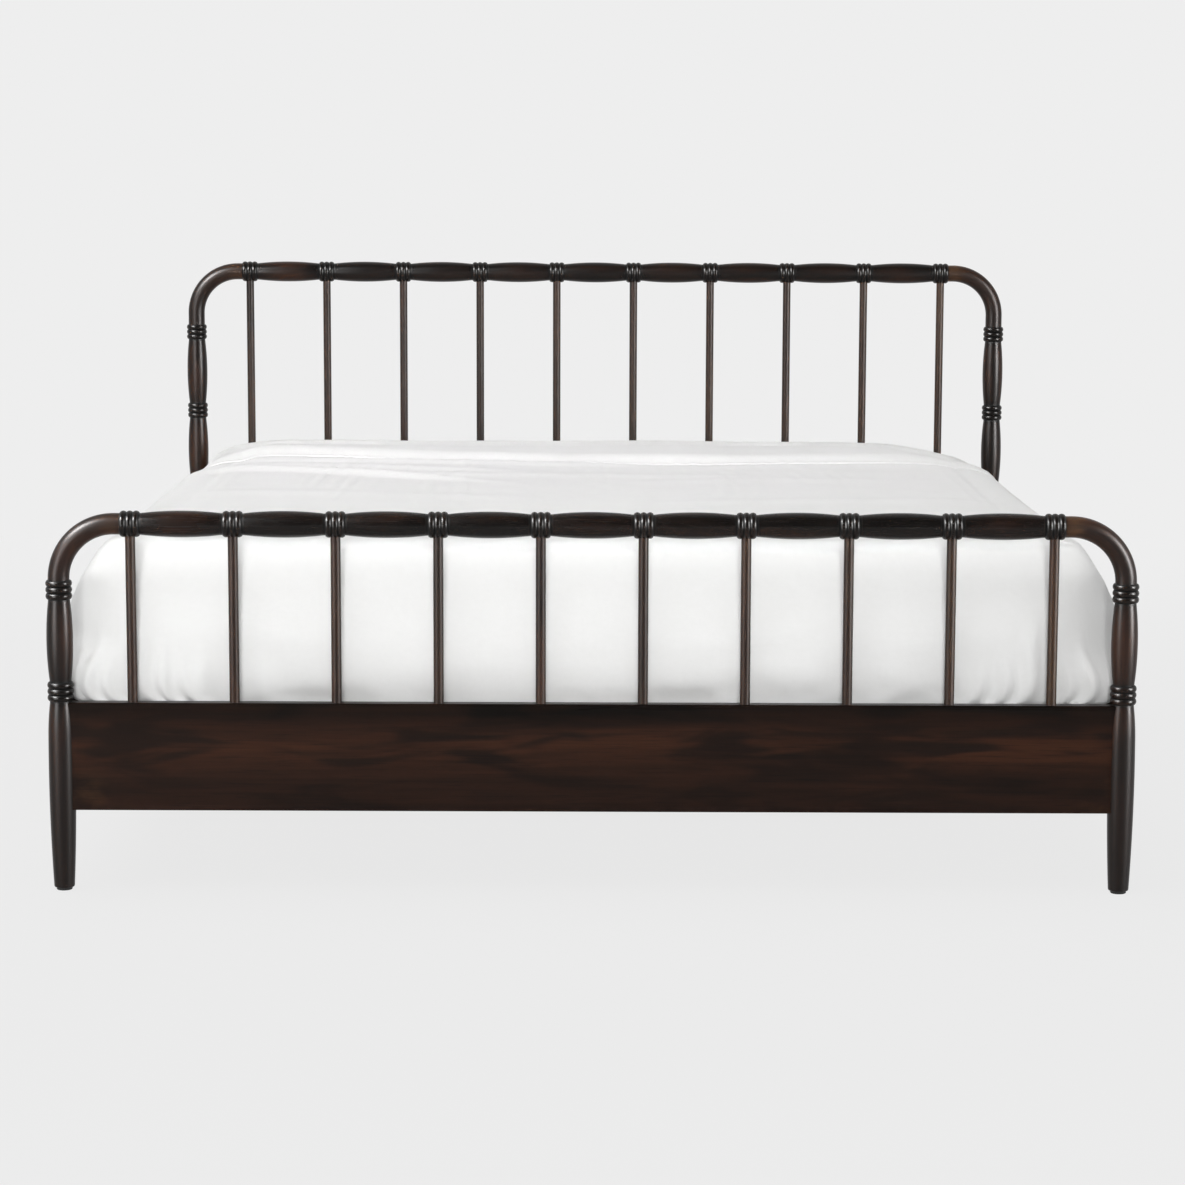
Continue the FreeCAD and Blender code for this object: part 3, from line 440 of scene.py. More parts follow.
def head_sag(points):
    """How far the top gives at its two head corners, more at the right one."""
    x, y, z = points.T
    right, left = 0.036 * smooth(0.70, 0.97, x), 0.016 * smooth(0.78, 0.97, -x)
    return (right + left) * smooth(0.55, 0.98, y) * smooth(0.42, 0.62, z)


lying = points_of(mattress.data)
lying[:, 2] = np.maximum(lying[:, 2], BED_LOW) - head_sag(lying)
set_points(mattress.data, lying)
mattress.data.shade_smooth()
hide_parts("mattress")
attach(mattress, "bedding")


# The coverlet: laid over the top, both sides and the foot, and folded back across the head.
SHEET_X = 0.9770
SHEET_Y = 1.0135
SHEET_HEAD = 1.004
SHEET_TOP = 0.6565
SHEET_CROWN = 0.010
HEM = 0.330
CLOTH = 0.0032
CORNER_IN = 0.035
ROUND_IN = 0.085
ROUND_DOWN = 0.060
LEAN = 0.026
COLUMNS = 184
ROWS = 110
EDGE_RINGS = 7
DROP_RINGS = 20
NOSE = 0.072
LAYER = 0.0034
HEM_GAP = 0.0019
FOLD_HIGH = 0.021
FOLD_BULGE = 0.010
FOLD_EASE = 5
# Where the folded part ends, as pairs of the distance across the sheet and the place along the bed.
FOLD_FRONT = [
    (-1.3, 0.80), (-0.95, 0.80), (-0.655, 0.745), (-0.342, 0.63),
    (0.02, 0.575), (0.38, 0.555), (0.742, 0.61), (1.3, 0.68),
]
# How near the cloth may come to the spindles, the side rails and the posts.
FOOT_LIMIT = -1.0285
RAIL_LIMIT = 0.9890
RAIL_TOP = 0.3585
POST_LIMIT = BEAD + 0.004


def column_share(n):
    """How far along the foot each column is, with more columns towards the corners."""
    share = n / COLUMNS
    return share - 0.45 * np.sin(2 * math.pi * share) / (2 * math.pi)


def side_and_foot(half_x, half_y, radius):
    """Points and outward directions along an outline that is open at the head: down the left
    side to the middle of the corner, and along the foot to the middle of the other corner."""
    quarter = radius * math.pi / 4
    run = half_y - radius + SHEET_HEAD
    side, side_out = [], []
    for n in range(ROWS + 1):
        at = (run + quarter) * n / ROWS
        if at <= run:
            side.append((-half_x, SHEET_HEAD - at))
            side_out.append((-1, 0))
        else:
            t = (at - run) / radius
            side.append((-half_x + radius - radius * math.cos(t), -half_y + radius - radius * math.sin(t)))
            side_out.append((-math.cos(t), -math.sin(t)))
    foot, foot_out = [], []
    wide = 2 * (half_x - radius)
    for n in range(COLUMNS + 1):
        at = (wide + 2 * quarter) * column_share(n) - quarter
        if 0 <= at <= wide:
            foot.append((-half_x + radius + at, -half_y))
            foot_out.append((0, -1))
            continue
        over = at if at < 0 else at - wide
        t = over / radius
        centre = -half_x + radius if at < 0 else half_x - radius
        foot.append((centre + radius * math.sin(t), -half_y + radius - radius * math.cos(t)))
        foot_out.append((math.sin(t), -math.cos(t)))
    return [np.array(a, float) for a in (side, side_out, foot, foot_out)]


def loop_at(half_x, half_y, radius):
    """The open outline from the head on the left round the foot to the head on the right."""
    side, side_out, foot, foot_out = side_and_foot(half_x, half_y, radius)
    mirror = np.array((-1, 1))
    points = np.vstack([side, foot[1:-1], (side * mirror)[::-1]])
    outs = np.vstack([side_out, foot_out[1:-1], (side_out * mirror)[::-1]])
    return points, outs


def top_height(x, y):
    """The crowned top, which lies a little fuller along the foot."""
    across = 1 - np.clip(np.abs(x) / SHEET_X, 0, 1) ** 2.4
    along = 1 - np.clip(np.abs(y) / SHEET_Y, 0, 1) ** 3
    fuller = 0.013 * smooth(0.35, 0.92, -y) * smooth(1.0, 0.86, np.abs(x))
    return SHEET_TOP + SHEET_CROWN * across * along + fuller


def wander(values, seed, scale):
    return np.array([noise.noise(Vector((v * scale, seed, 0.37 * seed))) for v in values])


# Pleats where the cloth is drawn round the corners: distance from the corner along the foot or
# the side, how it leans with depth, width, height, and the depth at which it starts.
PLEATS = [
    (0.040, 0.05, 0.010, 0.0120, 0.15),
    (0.072, 0.10, 0.010, 0.0110, 0.18),
    (0.115, 0.20, 0.013, 0.0130, 0.12),
    (0.160, 0.16, 0.011, 0.0140, 0.16),
    (0.198, 0.22, 0.011, 0.0130, 0.18),
    (0.245, -0.08, 0.015, 0.0110, 0.17),
    (0.340, 0.14, 0.020, 0.0080, 0.18),
    (-0.080, -0.12, 0.020, 0.0100, 0.08),
    (-0.170, -0.20, 0.024, 0.0080, 0.11),
]


def pleat_push(from_corner, depth, shift):
    push = np.zeros_like(from_corner)
    for at, lean, width, height, start in PLEATS:
        line = at * (1 + shift) + lean * (depth - start)
        bump = np.exp(-(((from_corner - line) / width) ** 2))
        push += height * bump * smooth(start, start + 0.09, depth)
    return push


# The cloth's section at a foot corner, where it stands out as a cone and tucks in again below:
# how far in from the full outline, and how far down.
CONE = [
    (ROUND_IN, 0.0), (0.058, 0.003), (0.037, 0.012), (-0.014, 0.078), (-0.033, 0.112), (-0.040, 0.165),
    (-0.040, 0.225), (-0.038, 0.268), (-0.032, 0.285), (-0.018, 0.2945), (0.004, 0.2975),
    (0.006, SHEET_TOP - HEM),
]


def lean(fall):
    """How far the foot face stands back towards its top edge."""
    return LEAN * (1 - smooth(0.02, 0.19, fall))


def sections():
    """Inset and fall of each ring below the top, on the plain edges and at the corners."""
    plain = []
    for n in range(1, EDGE_RINGS + 1):
        t = n / EDGE_RINGS * math.pi / 2
        plain.append((ROUND_IN * (1 - math.sin(t)) ** 1.25, ROUND_DOWN * (1 - math.cos(t))))
    drop = SHEET_TOP - ROUND_DOWN - HEM
    plain += [(0.0, ROUND_DOWN + drop * n / DROP_RINGS) for n in range(1, DROP_RINGS + 1)]
    line = np.array(CONE)
    along = np.concatenate([[0], np.cumsum(np.linalg.norm(np.diff(line, axis=0), axis=1))])
    spots = np.linspace(0, along[-1], EDGE_RINGS + DROP_RINGS + 1)[1:]
    cone = np.stack([np.interp(spots, along, line[:, n]) for n in range(2)], 1)
    return list(zip(plain, cone))


def kept_clear(points):
    """Keep the cloth off the spindles, the footboard, the side rails and the posts."""
    points[:, 1] = np.maximum(points[:, 1], FOOT_LIMIT)
    low = points[:, 2] < RAIL_TOP
    points[low, 0] = np.clip(points[low, 0], -RAIL_LIMIT, RAIL_LIMIT)
    for sign in SIDES.values():
        for board in BOARDS.values():
            post = np.array((sign * POST_X, board["y"]))
            gap = points[:, :2] - post
            far = np.linalg.norm(gap, axis=1)
            close = far < POST_LIMIT
            points[close, :2] = post + gap[close] * (POST_LIMIT / far[close])[:, None]
    return points


def coverlet_sheet():
    """The sheet before it settles, its rings from the top edge down, and each point's flat place."""
    points, place, faces = [], [], []
    inner, _ = loop_at(SHEET_X - ROUND_IN, SHEET_Y - ROUND_IN - LEAN, CORNER_IN)
    left, foot, right = inner[: ROWS + 1], inner[ROWS : ROWS + COLUMNS + 1], inner[ROWS + COLUMNS :][::-1]
    shares = column_share(np.arange(COLUMNS + 1))
    head = left[0] + (right[0] - left[0]) * shares[:, None]
    for j in range(ROWS + 1):
        v = j / ROWS
        for i, u in enumerate(shares):
            spot = (1 - u) * left[j] + u * right[j] + (1 - v) * head[i] + v * foot[i]
            spot = spot - (1 - u) * (1 - v) * head[0] - u * (1 - v) * head[-1]
            spot = spot - (1 - u) * v * foot[0] - u * v * foot[-1]
            points.append((spot[0], spot[1], float(top_height(spot[0], spot[1]))))
            place.append((spot[0], spot[1], 0))

    def top(i, j):
        return j * (COLUMNS + 1) + i

    loop = [top(0, j) for j in range(ROWS + 1)] + [top(i, ROWS) for i in range(1, COLUMNS)]
    loop += [top(COLUMNS, j) for j in range(ROWS, -1, -1)]
    for j in range(ROWS):
        for i in range(COLUMNS):
            faces.append((top(i, j), top(i, j + 1), top(i + 1, j + 1), top(i + 1, j)))
    count = len(loop)
    edge_z = np.array([points[n][2] for n in loop])
    last = loop
    rings = [loop]
    for (inset, fall), (cone_inset, cone_fall) in sections():
        depth_share = smooth(0.03, 0.16, fall)
        radius = max(CORNER_IN, 0.100 - inset) * (1 - depth_share) + 0.050 * depth_share
        line, out = loop_at(SHEET_X - inset, SHEET_Y - inset - lean(fall), radius)
        foot_inset = max(cone_inset, 0) + lean(cone_fall)
        squarer = smooth(0.17, 0.27, cone_fall)
        cone_radius = max(CORNER_IN, 0.036 + (0.034 - 2.4 * cone_inset) * (1 - squarer))
        cone_line, _ = loop_at(SHEET_X - cone_inset, SHEET_Y - foot_inset, cone_radius)
        steps = np.linalg.norm(np.diff(line, axis=0), axis=1)
        along = np.concatenate([[0], np.cumsum(steps)])
        near_left = along - along[ROWS]
        near_right = along[ROWS + COLUMNS] - along
        corner_gap = np.minimum(np.abs(near_left), np.abs(near_right))
        cone = np.exp(-((corner_gap / 0.30) ** 2))
        line = line * (1 - cone)[:, None] + cone_line * cone[:, None]
        falls = fall * (1 - cone) + cone_fall * cone
        push = pleat_push(near_left, fall, 0.0) + pleat_push(near_right, fall, 0.16)
        push += 0.0030 * wander(along, 3.1, 5.0) * smooth(0.06, 0.2, fall)
        push += 0.0045 * np.exp(-(((fall - 0.235) / 0.025) ** 2)) * (0.6 + 0.8 * wander(along, 9.7, 7.0))
        push -= 0.002 * smooth(0.22, 0.30, fall) * (1 - cone)
        at_foot = np.clip(-out[:, 1], 0, 1) * (1 - 0.8 * cone)
        push -= 0.010 * at_foot * smooth(0.10, 0.33, fall)
        push += 0.0055 * at_foot * wander(along, 5.3, 19.0) * smooth(0.21, 0.26, fall)
        push -= 0.012 * at_foot * smooth(0.12, 0.45, wander(along, 8.3, 6.5)) * smooth(0.258, 0.292, fall)
        z = edge_z + (SHEET_TOP - edge_z) * smooth(0, 0.05, falls) - falls
        first = len(points)
        for n in range(count):
            x, y = line[n] + out[n] * push[n]
            points.append((x, y, z[n]))
            travel = ROUND_IN + fall
            place.append((inner[n][0] + out[n][0] * travel, inner[n][1] + out[n][1] * travel, 0))
        ring = [first + n for n in range(count)]
        for n in range(count - 1):
            faces.append((last[n], ring[n], ring[n + 1], last[n + 1]))
        last = ring
        rings.append(ring)
    made = new_piece("coverlet_cloth", kept_clear(np.array(points)), faces)
    return made, rings, np.array(place)


coverlet, rings, cloth_place = coverlet_sheet()
shell = bmesh.new()
shell.from_mesh(coverlet.data)
bmesh.ops.recalc_face_normals(shell, faces=shell.faces)
if shell.faces[0].normal.z < 0:
    bmesh.ops.reverse_faces(shell, faces=shell.faces)
shell.to_mesh(coverlet.data)
shell.free()


def draped(cloth, touch):
    cloth.quality = 6
    cloth.mass = 0.25
    cloth.tension_stiffness = cloth.compression_stiffness = 60
    cloth.shear_stiffness = 30
    cloth.effector_weights.gravity = 0.4
    cloth.bending_stiffness = 0.6
    cloth.vertex_group_mass = "tucked"
    cloth.shrink_min = -0.006
    cloth.air_damping = 2.0
    touch.use_collision = True
    touch.distance_min = 0.003
    touch.use_self_collision = False


tucked = coverlet.vertex_groups.new(name="tucked")
tucked.add(rings[-1] + rings[-2], 1.0, "REPLACE")
tucked.add(list(range(COLUMNS + 1)) + [r[0] for r in rings] + [r[-1] for r in rings], 1.0, "REPLACE")
mattress.modifiers.new("touch", "COLLISION")
mattress.collision.thickness_outer = 0.003
mattress.collision.cloth_friction = 12
flat = points_of(coverlet.data)[:, :2]
to_corner = np.linalg.norm(np.abs(flat) - np.array((SHEET_X, SHEET_Y)), axis=1)
at_corner = np.exp(-((to_corner / 0.25) ** 2)) * (flat[:, 1] < 0)
low_foot = (flat[:, 1] < -0.9) * smooth(0.64, 0.40, points_of(coverlet.data)[:, 2])
settled(coverlet, 18, 0.012 - 0.009 * np.maximum(at_corner, low_foot), draped)
mattress.modifiers.remove(mattress.modifiers["touch"])
set_points(coverlet.data, kept_clear(points_of(coverlet.data)))


def chain(j):
    """The points across one row of the coverlet, from the left hem over the top to the right."""
    sides = rings[1:]
    return [r[j] for r in reversed(sides)] + [j * (COLUMNS + 1) + i for i in range(COLUMNS + 1)] + [
        r[-1 - j] for r in sides
    ]


def fold_back():
    """Turn the head of the coverlet back over itself, with a round front edge."""
    mesh = coverlet.data
    spots = points_of(mesh)
    normals = np.zeros(len(mesh.vertices) * 3)
    mesh.vertices.foreach_get("normal", normals)
    normals = normals.reshape(-1, 3)
    rows = np.array([chain(j) for j in range(ROWS + 1)])
    count = rows.shape[1]
    column = np.arange(count)
    ys = spots[rows[:, count // 2], 1]
    steps = np.linalg.norm(np.diff(spots[rows[0]], axis=0), axis=1)
    across = np.concatenate([[0], np.cumsum(steps)]) - steps.sum() / 2
    front = np.interp(across, *np.array(FOLD_FRONT).T) + 0.006 * wander(across, 4.4, 2.2)
    puff = 1 + 0.16 * wander(across, 7.9, 3.1)
    lift = puff * (1 - 0.8 * smooth(SHEET_X - 0.16, SHEET_X + 0.12, np.abs(across)))

    def at(y):
        """Points and normals across the sheet, each at its own distance along the bed."""
        k = np.clip(np.searchsorted(-ys, -y) - 1, 0, ROWS - 1)
        t = ((ys[k] - y) / (ys[k] - ys[k + 1]))[:, None]
        near_row, far_row = rows[k, column], rows[k + 1, column]
        up = normals[near_row] * (1 - t) + normals[far_row] * t
        return spots[near_row] * (1 - t) + spots[far_row] * t, up / np.linalg.norm(up, axis=1)[:, None]

    # Each step of the path: share of the way from the head to the nose, share of the nose, height
    # above the sheet, least height, and how far it stands out behind the head.
    path = []
    for turn in np.linspace(0, math.pi, 7)[1:-1]:
        path.append((0, 0, FOLD_HIGH / 2 * (1 - math.cos(turn)), 0, FOLD_BULGE * math.sin(turn)))
    for share in np.linspace(0, 1, 22):
        path.append((share, 0, FOLD_HIGH, LAYER, 0))
    for share in np.linspace(0, 1, 12)[1:]:
        low = LAYER + (HEM_GAP - LAYER) * share
        height = HEM_GAP + (FOLD_HIGH - HEM_GAP) * (1 - float(smooth(0, 1, share**1.5)))
        path.append((1, share, height, low, 0))
    points, place = [], []
    for run, nose, height, low, beyond in path:
        y = SHEET_HEAD + (front + NOSE - SHEET_HEAD) * run - NOSE * nose
        row, up = at(y)
        low = min(low, height)
        row = row + up * (low + (height - low) * lift)[:, None]
        row[:, 1] += beyond
        # The folded part lies smoother than the sheet under it.
        eased = row.copy()
        for _ in range(FOLD_EASE):
            eased[1:-1] = (eased[:-2] + 2 * eased[1:-1] + eased[2:]) / 4
        row += (eased - row) * (1 - nose) * height / FOLD_HIGH
        points += list(row)
        place += list(zip(across, 2 * SHEET_HEAD - y + 0.02, np.zeros(count)))
    base = len(spots)
    faces = []
    for r in range(len(path)):
        for c in range(count - 1):
            here = base + r * count
            lower = [rows[0][c], rows[0][c + 1]] if r == 0 else [here - count + c, here - count + c + 1]
            faces.append((lower[0], lower[1], here + c + 1, here + c))
    old_faces = [tuple(f.vertices) for f in mesh.polygons]
    whole = bpy.data.meshes.new("coverlet_cloth")
    whole.from_pydata([tuple(p) for p in np.vstack([spots, points])], [], old_faces + faces)
    whole.update()
    coverlet.data = whole
    coverlet.vertex_groups.clear()
    return np.vstack([cloth_place, place])


def crease(points):
    """Soft folds that the hand has left on the top, in front of the fold and on its left half."""
    x, y = points[:, 0], points[:, 1]
    on_top = smooth(0.55, 0.62, points[:, 2])
    rise = np.zeros(len(points))
    for x0, x1, y0, y1, width, height in (
        (-0.99, -0.20, 0.500, 0.190, 0.024, 0.0125),
        (-0.95, 0.25, 0.655, 0.540, 0.022, 0.0080),
        (-0.85, -0.10, 0.560, 0.400, 0.034, 0.0060),
        (-0.60, 0.50, 0.330, 0.300, 0.040, 0.0040),
        (0.20, 0.96, 0.480, 0.620, 0.036, 0.0045),
        (0.05, 0.80, 0.160, 0.250, 0.045, 0.0035),
        (-0.90, -0.10, -0.050, -0.180, 0.050, 0.0040),
        (0.10, 0.92, -0.300, -0.150, 0.050, 0.0035),
    ):
        t = (x - x0) / (x1 - x0)
        line = y0 + (y1 - y0) * t + 0.012 * np.sin(t * 5.0)
        ends = smooth(-0.05, 0.2, t) * (1 - smooth(0.7, 1.05, t))
        rise += height * ends * np.exp(-(((y - line) / width) ** 2))
    soft = np.array([noise.fractal(Vector((a * 2.6, b * 2.6, 1.3)), 1.0, 2.0, 3) for a, b in zip(x, y)])
    rise += 0.0022 * soft
    points[:, 2] += rise * on_top - head_sag(points)
    points[:, 0] -= 0.011 * smooth(0.60, 0.97, -x) * on_top * smooth(0.9, 0.5, np.abs(y))
    return points


set_points(coverlet.data, crease(points_of(coverlet.data)))
cloth_place = fold_back()
keep_numbers(coverlet, "cloth_place", cloth_place)
coverlet.data.shade_smooth()
thick = coverlet.modifiers.new("thick", "SOLIDIFY")
thick.thickness = CLOTH
thick.offset = 0.0
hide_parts("coverlet")
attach(coverlet, "bedding")


# Finishes. put() adds a node, with each socket given a value or another node's socket.


def put(tree, kind, sockets=None, **settings):
    made = tree.nodes.new("ShaderNode" + kind)
    for name, setting in settings.items():
        setattr(made, name, setting)
    for name, given in (sockets or {}).items():
        if isinstance(given, bpy.types.NodeSocket):
            tree.links.new(given, made.inputs[name])
        else:
            made.inputs[name].default_value = given
    return made


def calc(tree, operation, a, b=0.0, clamp=False):
    made = put(tree, "Math", {0: a, 1: b}, operation=operation, use_clamp=clamp)
    return made.outputs[0]


def mixed(tree, share, a, b):
    made = put(tree, "Mix", data_type="RGBA")
    for spot, given in ((0, share), (6, a), (7, b)):
        if isinstance(given, bpy.types.NodeSocket):
            tree.links.new(given, made.inputs[spot])
        else:
            made.inputs[spot].default_value = given
    return made.outputs[2]


def ramped(tree, given, low, high, to_low=0.0, to_high=1.0):
    sockets = {"Value": given, "From Min": low, "From Max": high, "To Min": to_low, "To Max": to_high}
    return put(tree, "MapRange", sockets, interpolation_type="SMOOTHSTEP").outputs["Result"]


def speckle(tree, place, scale, stretch=(1, 1, 1), detail=3.0, rough=0.55, warp=0.0):
    """Noise between 0 and 1 that is drawn out along the directions with a small stretch."""
    spread = put(tree, "Mapping", {"Vector": place, "Scale": stretch}).outputs["Vector"]
    sockets = {"Vector": spread, "Scale": scale, "Detail": detail, "Roughness": rough, "Distortion": warp}
    return put(tree, "TexNoise", sockets).outputs["Fac"]


def new_group(name, inputs, outputs):
    tree = bpy.data.node_groups.new(name, "ShaderNodeTree")
    kinds = {"value": "NodeSocketFloat", "colour": "NodeSocketColor", "vector": "NodeSocketVector"}
    for label, kind in inputs:
        tree.interface.new_socket(label, in_out="INPUT", socket_type=kinds[kind])
    for label, kind in outputs:
        tree.interface.new_socket(label, in_out="OUTPUT", socket_type=kinds[kind])
    return tree, tree.nodes.new("NodeGroupInput").outputs, tree.nodes.new("NodeGroupOutput").inputs


def shade(rgb):
    return (*rgb, 1.0)


def grain_group():
    """Long streaks, broad figure and fine pores of wood whose grain runs along Z of its place."""
    tree, given, out = new_group(
        "wood grain", [("Place", "vector")],
        [("Streak", "value"), ("Figure", "value"), ("Pore", "value")],
    )
    place = given["Place"]
    tree.links.new(speckle(tree, place, 1.0, (38, 38, 1.5), 6, 0.62, 0.6), out["Streak"])
    tree.links.new(speckle(tree, place, 1.0, (22, 22, 4.0), 2, 0.5, 0.8), out["Figure"])
    fine = speckle(tree, place, 1.0, (520, 520, 11), 2, 0.6)
    tree.links.new(ramped(tree, fine, 0.56, 0.70), out["Pore"])
    return tree


GRAIN = grain_group()


def stain_group():
    """Dark espresso stain over brown wood: nearly black where it lies thick, reddish where the grain
    drinks less or hands have thinned it. The grooves are painted near-black as shade."""
    tree, given, out = new_group(
        "espresso stain",
        [("Streak", "value"), ("Figure", "value"), ("Pore", "value"), ("Warm", "value"),
         ("Groove_shade", "value"), ("Rub", "value"), ("Stain", "value")],
        [("Colour", "colour"), ("Roughness", "value"), ("Height", "value")],
    )
    streak, figure, pore = given["Streak"], given["Figure"], given["Pore"]
    thin = ramped(tree, figure, 0.34, 0.68, -0.5, 0.5)
    lines = ramped(tree, streak, 0.32, 0.70, -0.5, 0.5)
    drift = calc(tree, "ADD", calc(tree, "MULTIPLY", thin, 0.30), calc(tree, "MULTIPLY", lines, 0.34))
    level = ramped(tree, given["Stain"], 0, 1, 0.74, 0.10)
    share = calc(tree, "ADD", level, drift, True)
    base = mixed(tree, share, shade((0.0035, 0.0020, 0.0012)), shade((0.0195, 0.0074, 0.0037)))
    blush = calc(tree, "MULTIPLY", given["Warm"], ramped(tree, figure, 0.34, 0.60), True)
    blush = calc(tree, "MULTIPLY", blush, calc(tree, "ADD", calc(tree, "MULTIPLY", lines, 0.6), 0.7))
    blush = calc(tree, "MULTIPLY", blush, ramped(tree, given["Stain"], 0, 1, 1.0, 0.35))
    base = mixed(tree, blush, base, shade((0.062, 0.0205, 0.0075)))
    base = mixed(tree, calc(tree, "MULTIPLY", given["Rub"], 0.75), base, shade((0.082, 0.038, 0.015)))
    base = mixed(tree, calc(tree, "MULTIPLY", pore, 0.45), base, shade((0.003, 0.0022, 0.0018)))
    # Painted shade: the bead grooves go near-black.
    base = mixed(tree, calc(tree, "MULTIPLY", given["Groove_shade"], 0.95), base, shade((0.0015, 0.0012, 0.0010)))
    tree.links.new(base, out["Colour"])
    polish = ramped(tree, given["Stain"], 0, 1, 0.34, 0.21)
    rough = calc(tree, "ADD", calc(tree, "MULTIPLY", streak, 0.10), polish)
    rough = calc(tree, "ADD", rough, calc(tree, "MULTIPLY", given["Groove_shade"], 0.20))
    rough = calc(tree, "ADD", rough, calc(tree, "MULTIPLY", pore, 0.06))
    tree.links.new(rough, out["Roughness"])
    low = calc(tree, "MULTIPLY", pore, -0.35)
    tree.links.new(calc(tree, "ADD", low, calc(tree, "MULTIPLY", streak, 0.5)), out["Height"])
    return tree


STAIN = stain_group()


def new_finish(name):
    made = bpy.data.materials.new(name)
    made.use_nodes = True
    tree = made.node_tree
    skin = next(n for n in tree.nodes if n.type == "BSDF_PRINCIPLED")
    return made, tree, skin


def grain_place(tree, along):
    """The piece's own coordinates, turned so that Z runs along the grain."""
    own = put(tree, "TexCoord").outputs["Object"]
    if along == "Z":
        return own
    apart = put(tree, "SeparateXYZ", {"Vector": own}).outputs
    order = {"X": ("Y", "Z", "X"), "Y": ("Z", "X", "Y")}[along]
    return put(tree, "CombineXYZ", {s: apart[o] for s, o in zip("XYZ", order)}).outputs["Vector"]


def stained(name, along=None, shares=None):
    """Stained wood. With no direction it is a turned piece, whose points keep their own place in
    the wood and the shares of groove shade (painted shade in the grooves), rub, warmth and stain.
    Other pieces are given the shares."""
    made, tree, skin = new_finish(name)
    if along is None:
        place = put(tree, "Attribute", attribute_name="wood_place").outputs["Vector"]
        labels = ("Groove_shade", "Rub", "Warm", "Stain")
        sockets = {n: put(tree, "Attribute", attribute_name=n.lower()).outputs["Fac"] for n in labels}
    else:
        place = grain_place(tree, along)
        sockets = shares(tree)
    grain = put(tree, "Group", node_tree=GRAIN)
    tree.links.new(place, grain.inputs["Place"])
    for label in ("Streak", "Figure", "Pore"):
        sockets[label] = grain.outputs[label]
    stain = put(tree, "Group", node_tree=STAIN)
    for label, source in sockets.items():
        if isinstance(source, bpy.types.NodeSocket):
            tree.links.new(source, stain.inputs[label])
        else:
            stain.inputs[label].default_value = source
    tree.links.new(stain.outputs["Colour"], skin.inputs["Base Color"])
    tree.links.new(stain.outputs["Roughness"], skin.inputs["Roughness"])
    bump = put(tree, "Bump", {"Height": stain.outputs["Height"], "Strength": 0.06, "Distance": 0.0008})
    tree.links.new(bump.outputs["Normal"], skin.inputs["Normal"])
    skin.inputs["Specular IOR Level"].default_value = 0.20 if along is None else 0.08
    return made


def plank_shares(top):
    """Shares over a plank panel: a warm band below its top edge, dark stain under the edge, and
    ends that are worn paler low down."""

    def shares(tree):
        own = put(tree, "TexCoord").outputs["Object"]
        x, _, z = put(tree, "SeparateXYZ", {"Vector": own}).outputs
        below = ramped(tree, z, top - 0.028, top - 0.070)
        band = calc(tree, "MULTIPLY", ramped(tree, z, top - 0.150, top - 0.090), below)
        warm = calc(tree, "MULTIPLY", band, ramped(tree, x, -0.25, 0.45, 0.52, 0.62))
        warm = calc(tree, "ADD", warm, 0.15)
        ends = ramped(tree, calc(tree, "ABSOLUTE", x), 0.88, 0.97)
        worn = calc(tree, "MULTIPLY", ends, ramped(tree, z, 0.250, 0.190))
        worn = calc(tree, "MULTIPLY", worn, ramped(tree, speckle(tree, own, 13.0, (1, 1, 1.6)), 0.42, 0.62))
        under = ramped(tree, z, top - 0.060, top - 0.004, 0.12, 0.75)
        return {"Groove_shade": 0.0, "Rub": calc(tree, "MULTIPLY", worn, 0.4), "Warm": warm, "Stain": under}

    return shares


def even_shares(tree):
    return {"Groove_shade": 0.0, "Rub": 0.0, "Warm": 0.3, "Stain": 0.15}


def dress(names, finish):
    for name in names:
        for spot in nodes[name].material_slots:
            spot.material = finish


turned_finish = stained("stained_wood_turned")
for piece in turned_work:
    piece.data.materials.append(turned_finish)
for name in BOARDS:
    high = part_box(f"{name}_panel")[1]
    dress([f"{name}_panel"], stained(f"stained_wood_{name}_panel", "X", plank_shares(high.z)))
dress(["side_rail_left", "side_rail_right"], stained("stained_wood_rail", "Y", even_shares))


def planed(name, along):
    """Pale planed wood without a finish."""
    made, tree, skin = new_finish(name)
    grain = put(tree, "Group", node_tree=GRAIN)
    tree.links.new(grain_place(tree, along), grain.inputs["Place"])
    lines = ramped(tree, grain.outputs["Streak"], 0.34, 0.70)
    base = mixed(tree, lines, shade((0.52, 0.36, 0.20)), shade((0.38, 0.235, 0.115)))
    paler = ramped(tree, grain.outputs["Figure"], 0.35, 0.68, 0, 0.5)
    base = mixed(tree, paler, base, shade((0.58, 0.42, 0.25)))
    base = mixed(tree, calc(tree, "MULTIPLY", grain.outputs["Pore"], 0.3), base, shade((0.24, 0.14, 0.07)))
    tree.links.new(base, skin.inputs["Base Color"])
    tree.links.new(ramped(tree, grain.outputs["Streak"], 0.3, 0.7, 0.62, 0.74), skin.inputs["Roughness"])
    bump = put(tree, "Bump", {"Height": grain.outputs["Streak"], "Strength": 0.3, "Distance": 0.0008})
    tree.links.new(bump.outputs["Normal"], skin.inputs["Normal"])
    skin.inputs["Specular IOR Level"].default_value = 0.3
    return made


def speckled(name, dark, pale, metal, rough, scale):
    """Plated metal or moulded plastic: one colour that drifts a little."""
    made, tree, skin = new_finish(name)
    own = put(tree, "TexCoord").outputs["Object"]
    drift = speckle(tree, own, scale, (1, 1, 1), 4, 0.6)
    tree.links.new(mixed(tree, drift, shade(dark), shade(pale)), skin.inputs["Base Color"])
    tree.links.new(ramped(tree, drift, 0.3, 0.7, rough - 0.06, rough + 0.06), skin.inputs["Roughness"])
    skin.inputs["Metallic"].default_value = metal
    return made


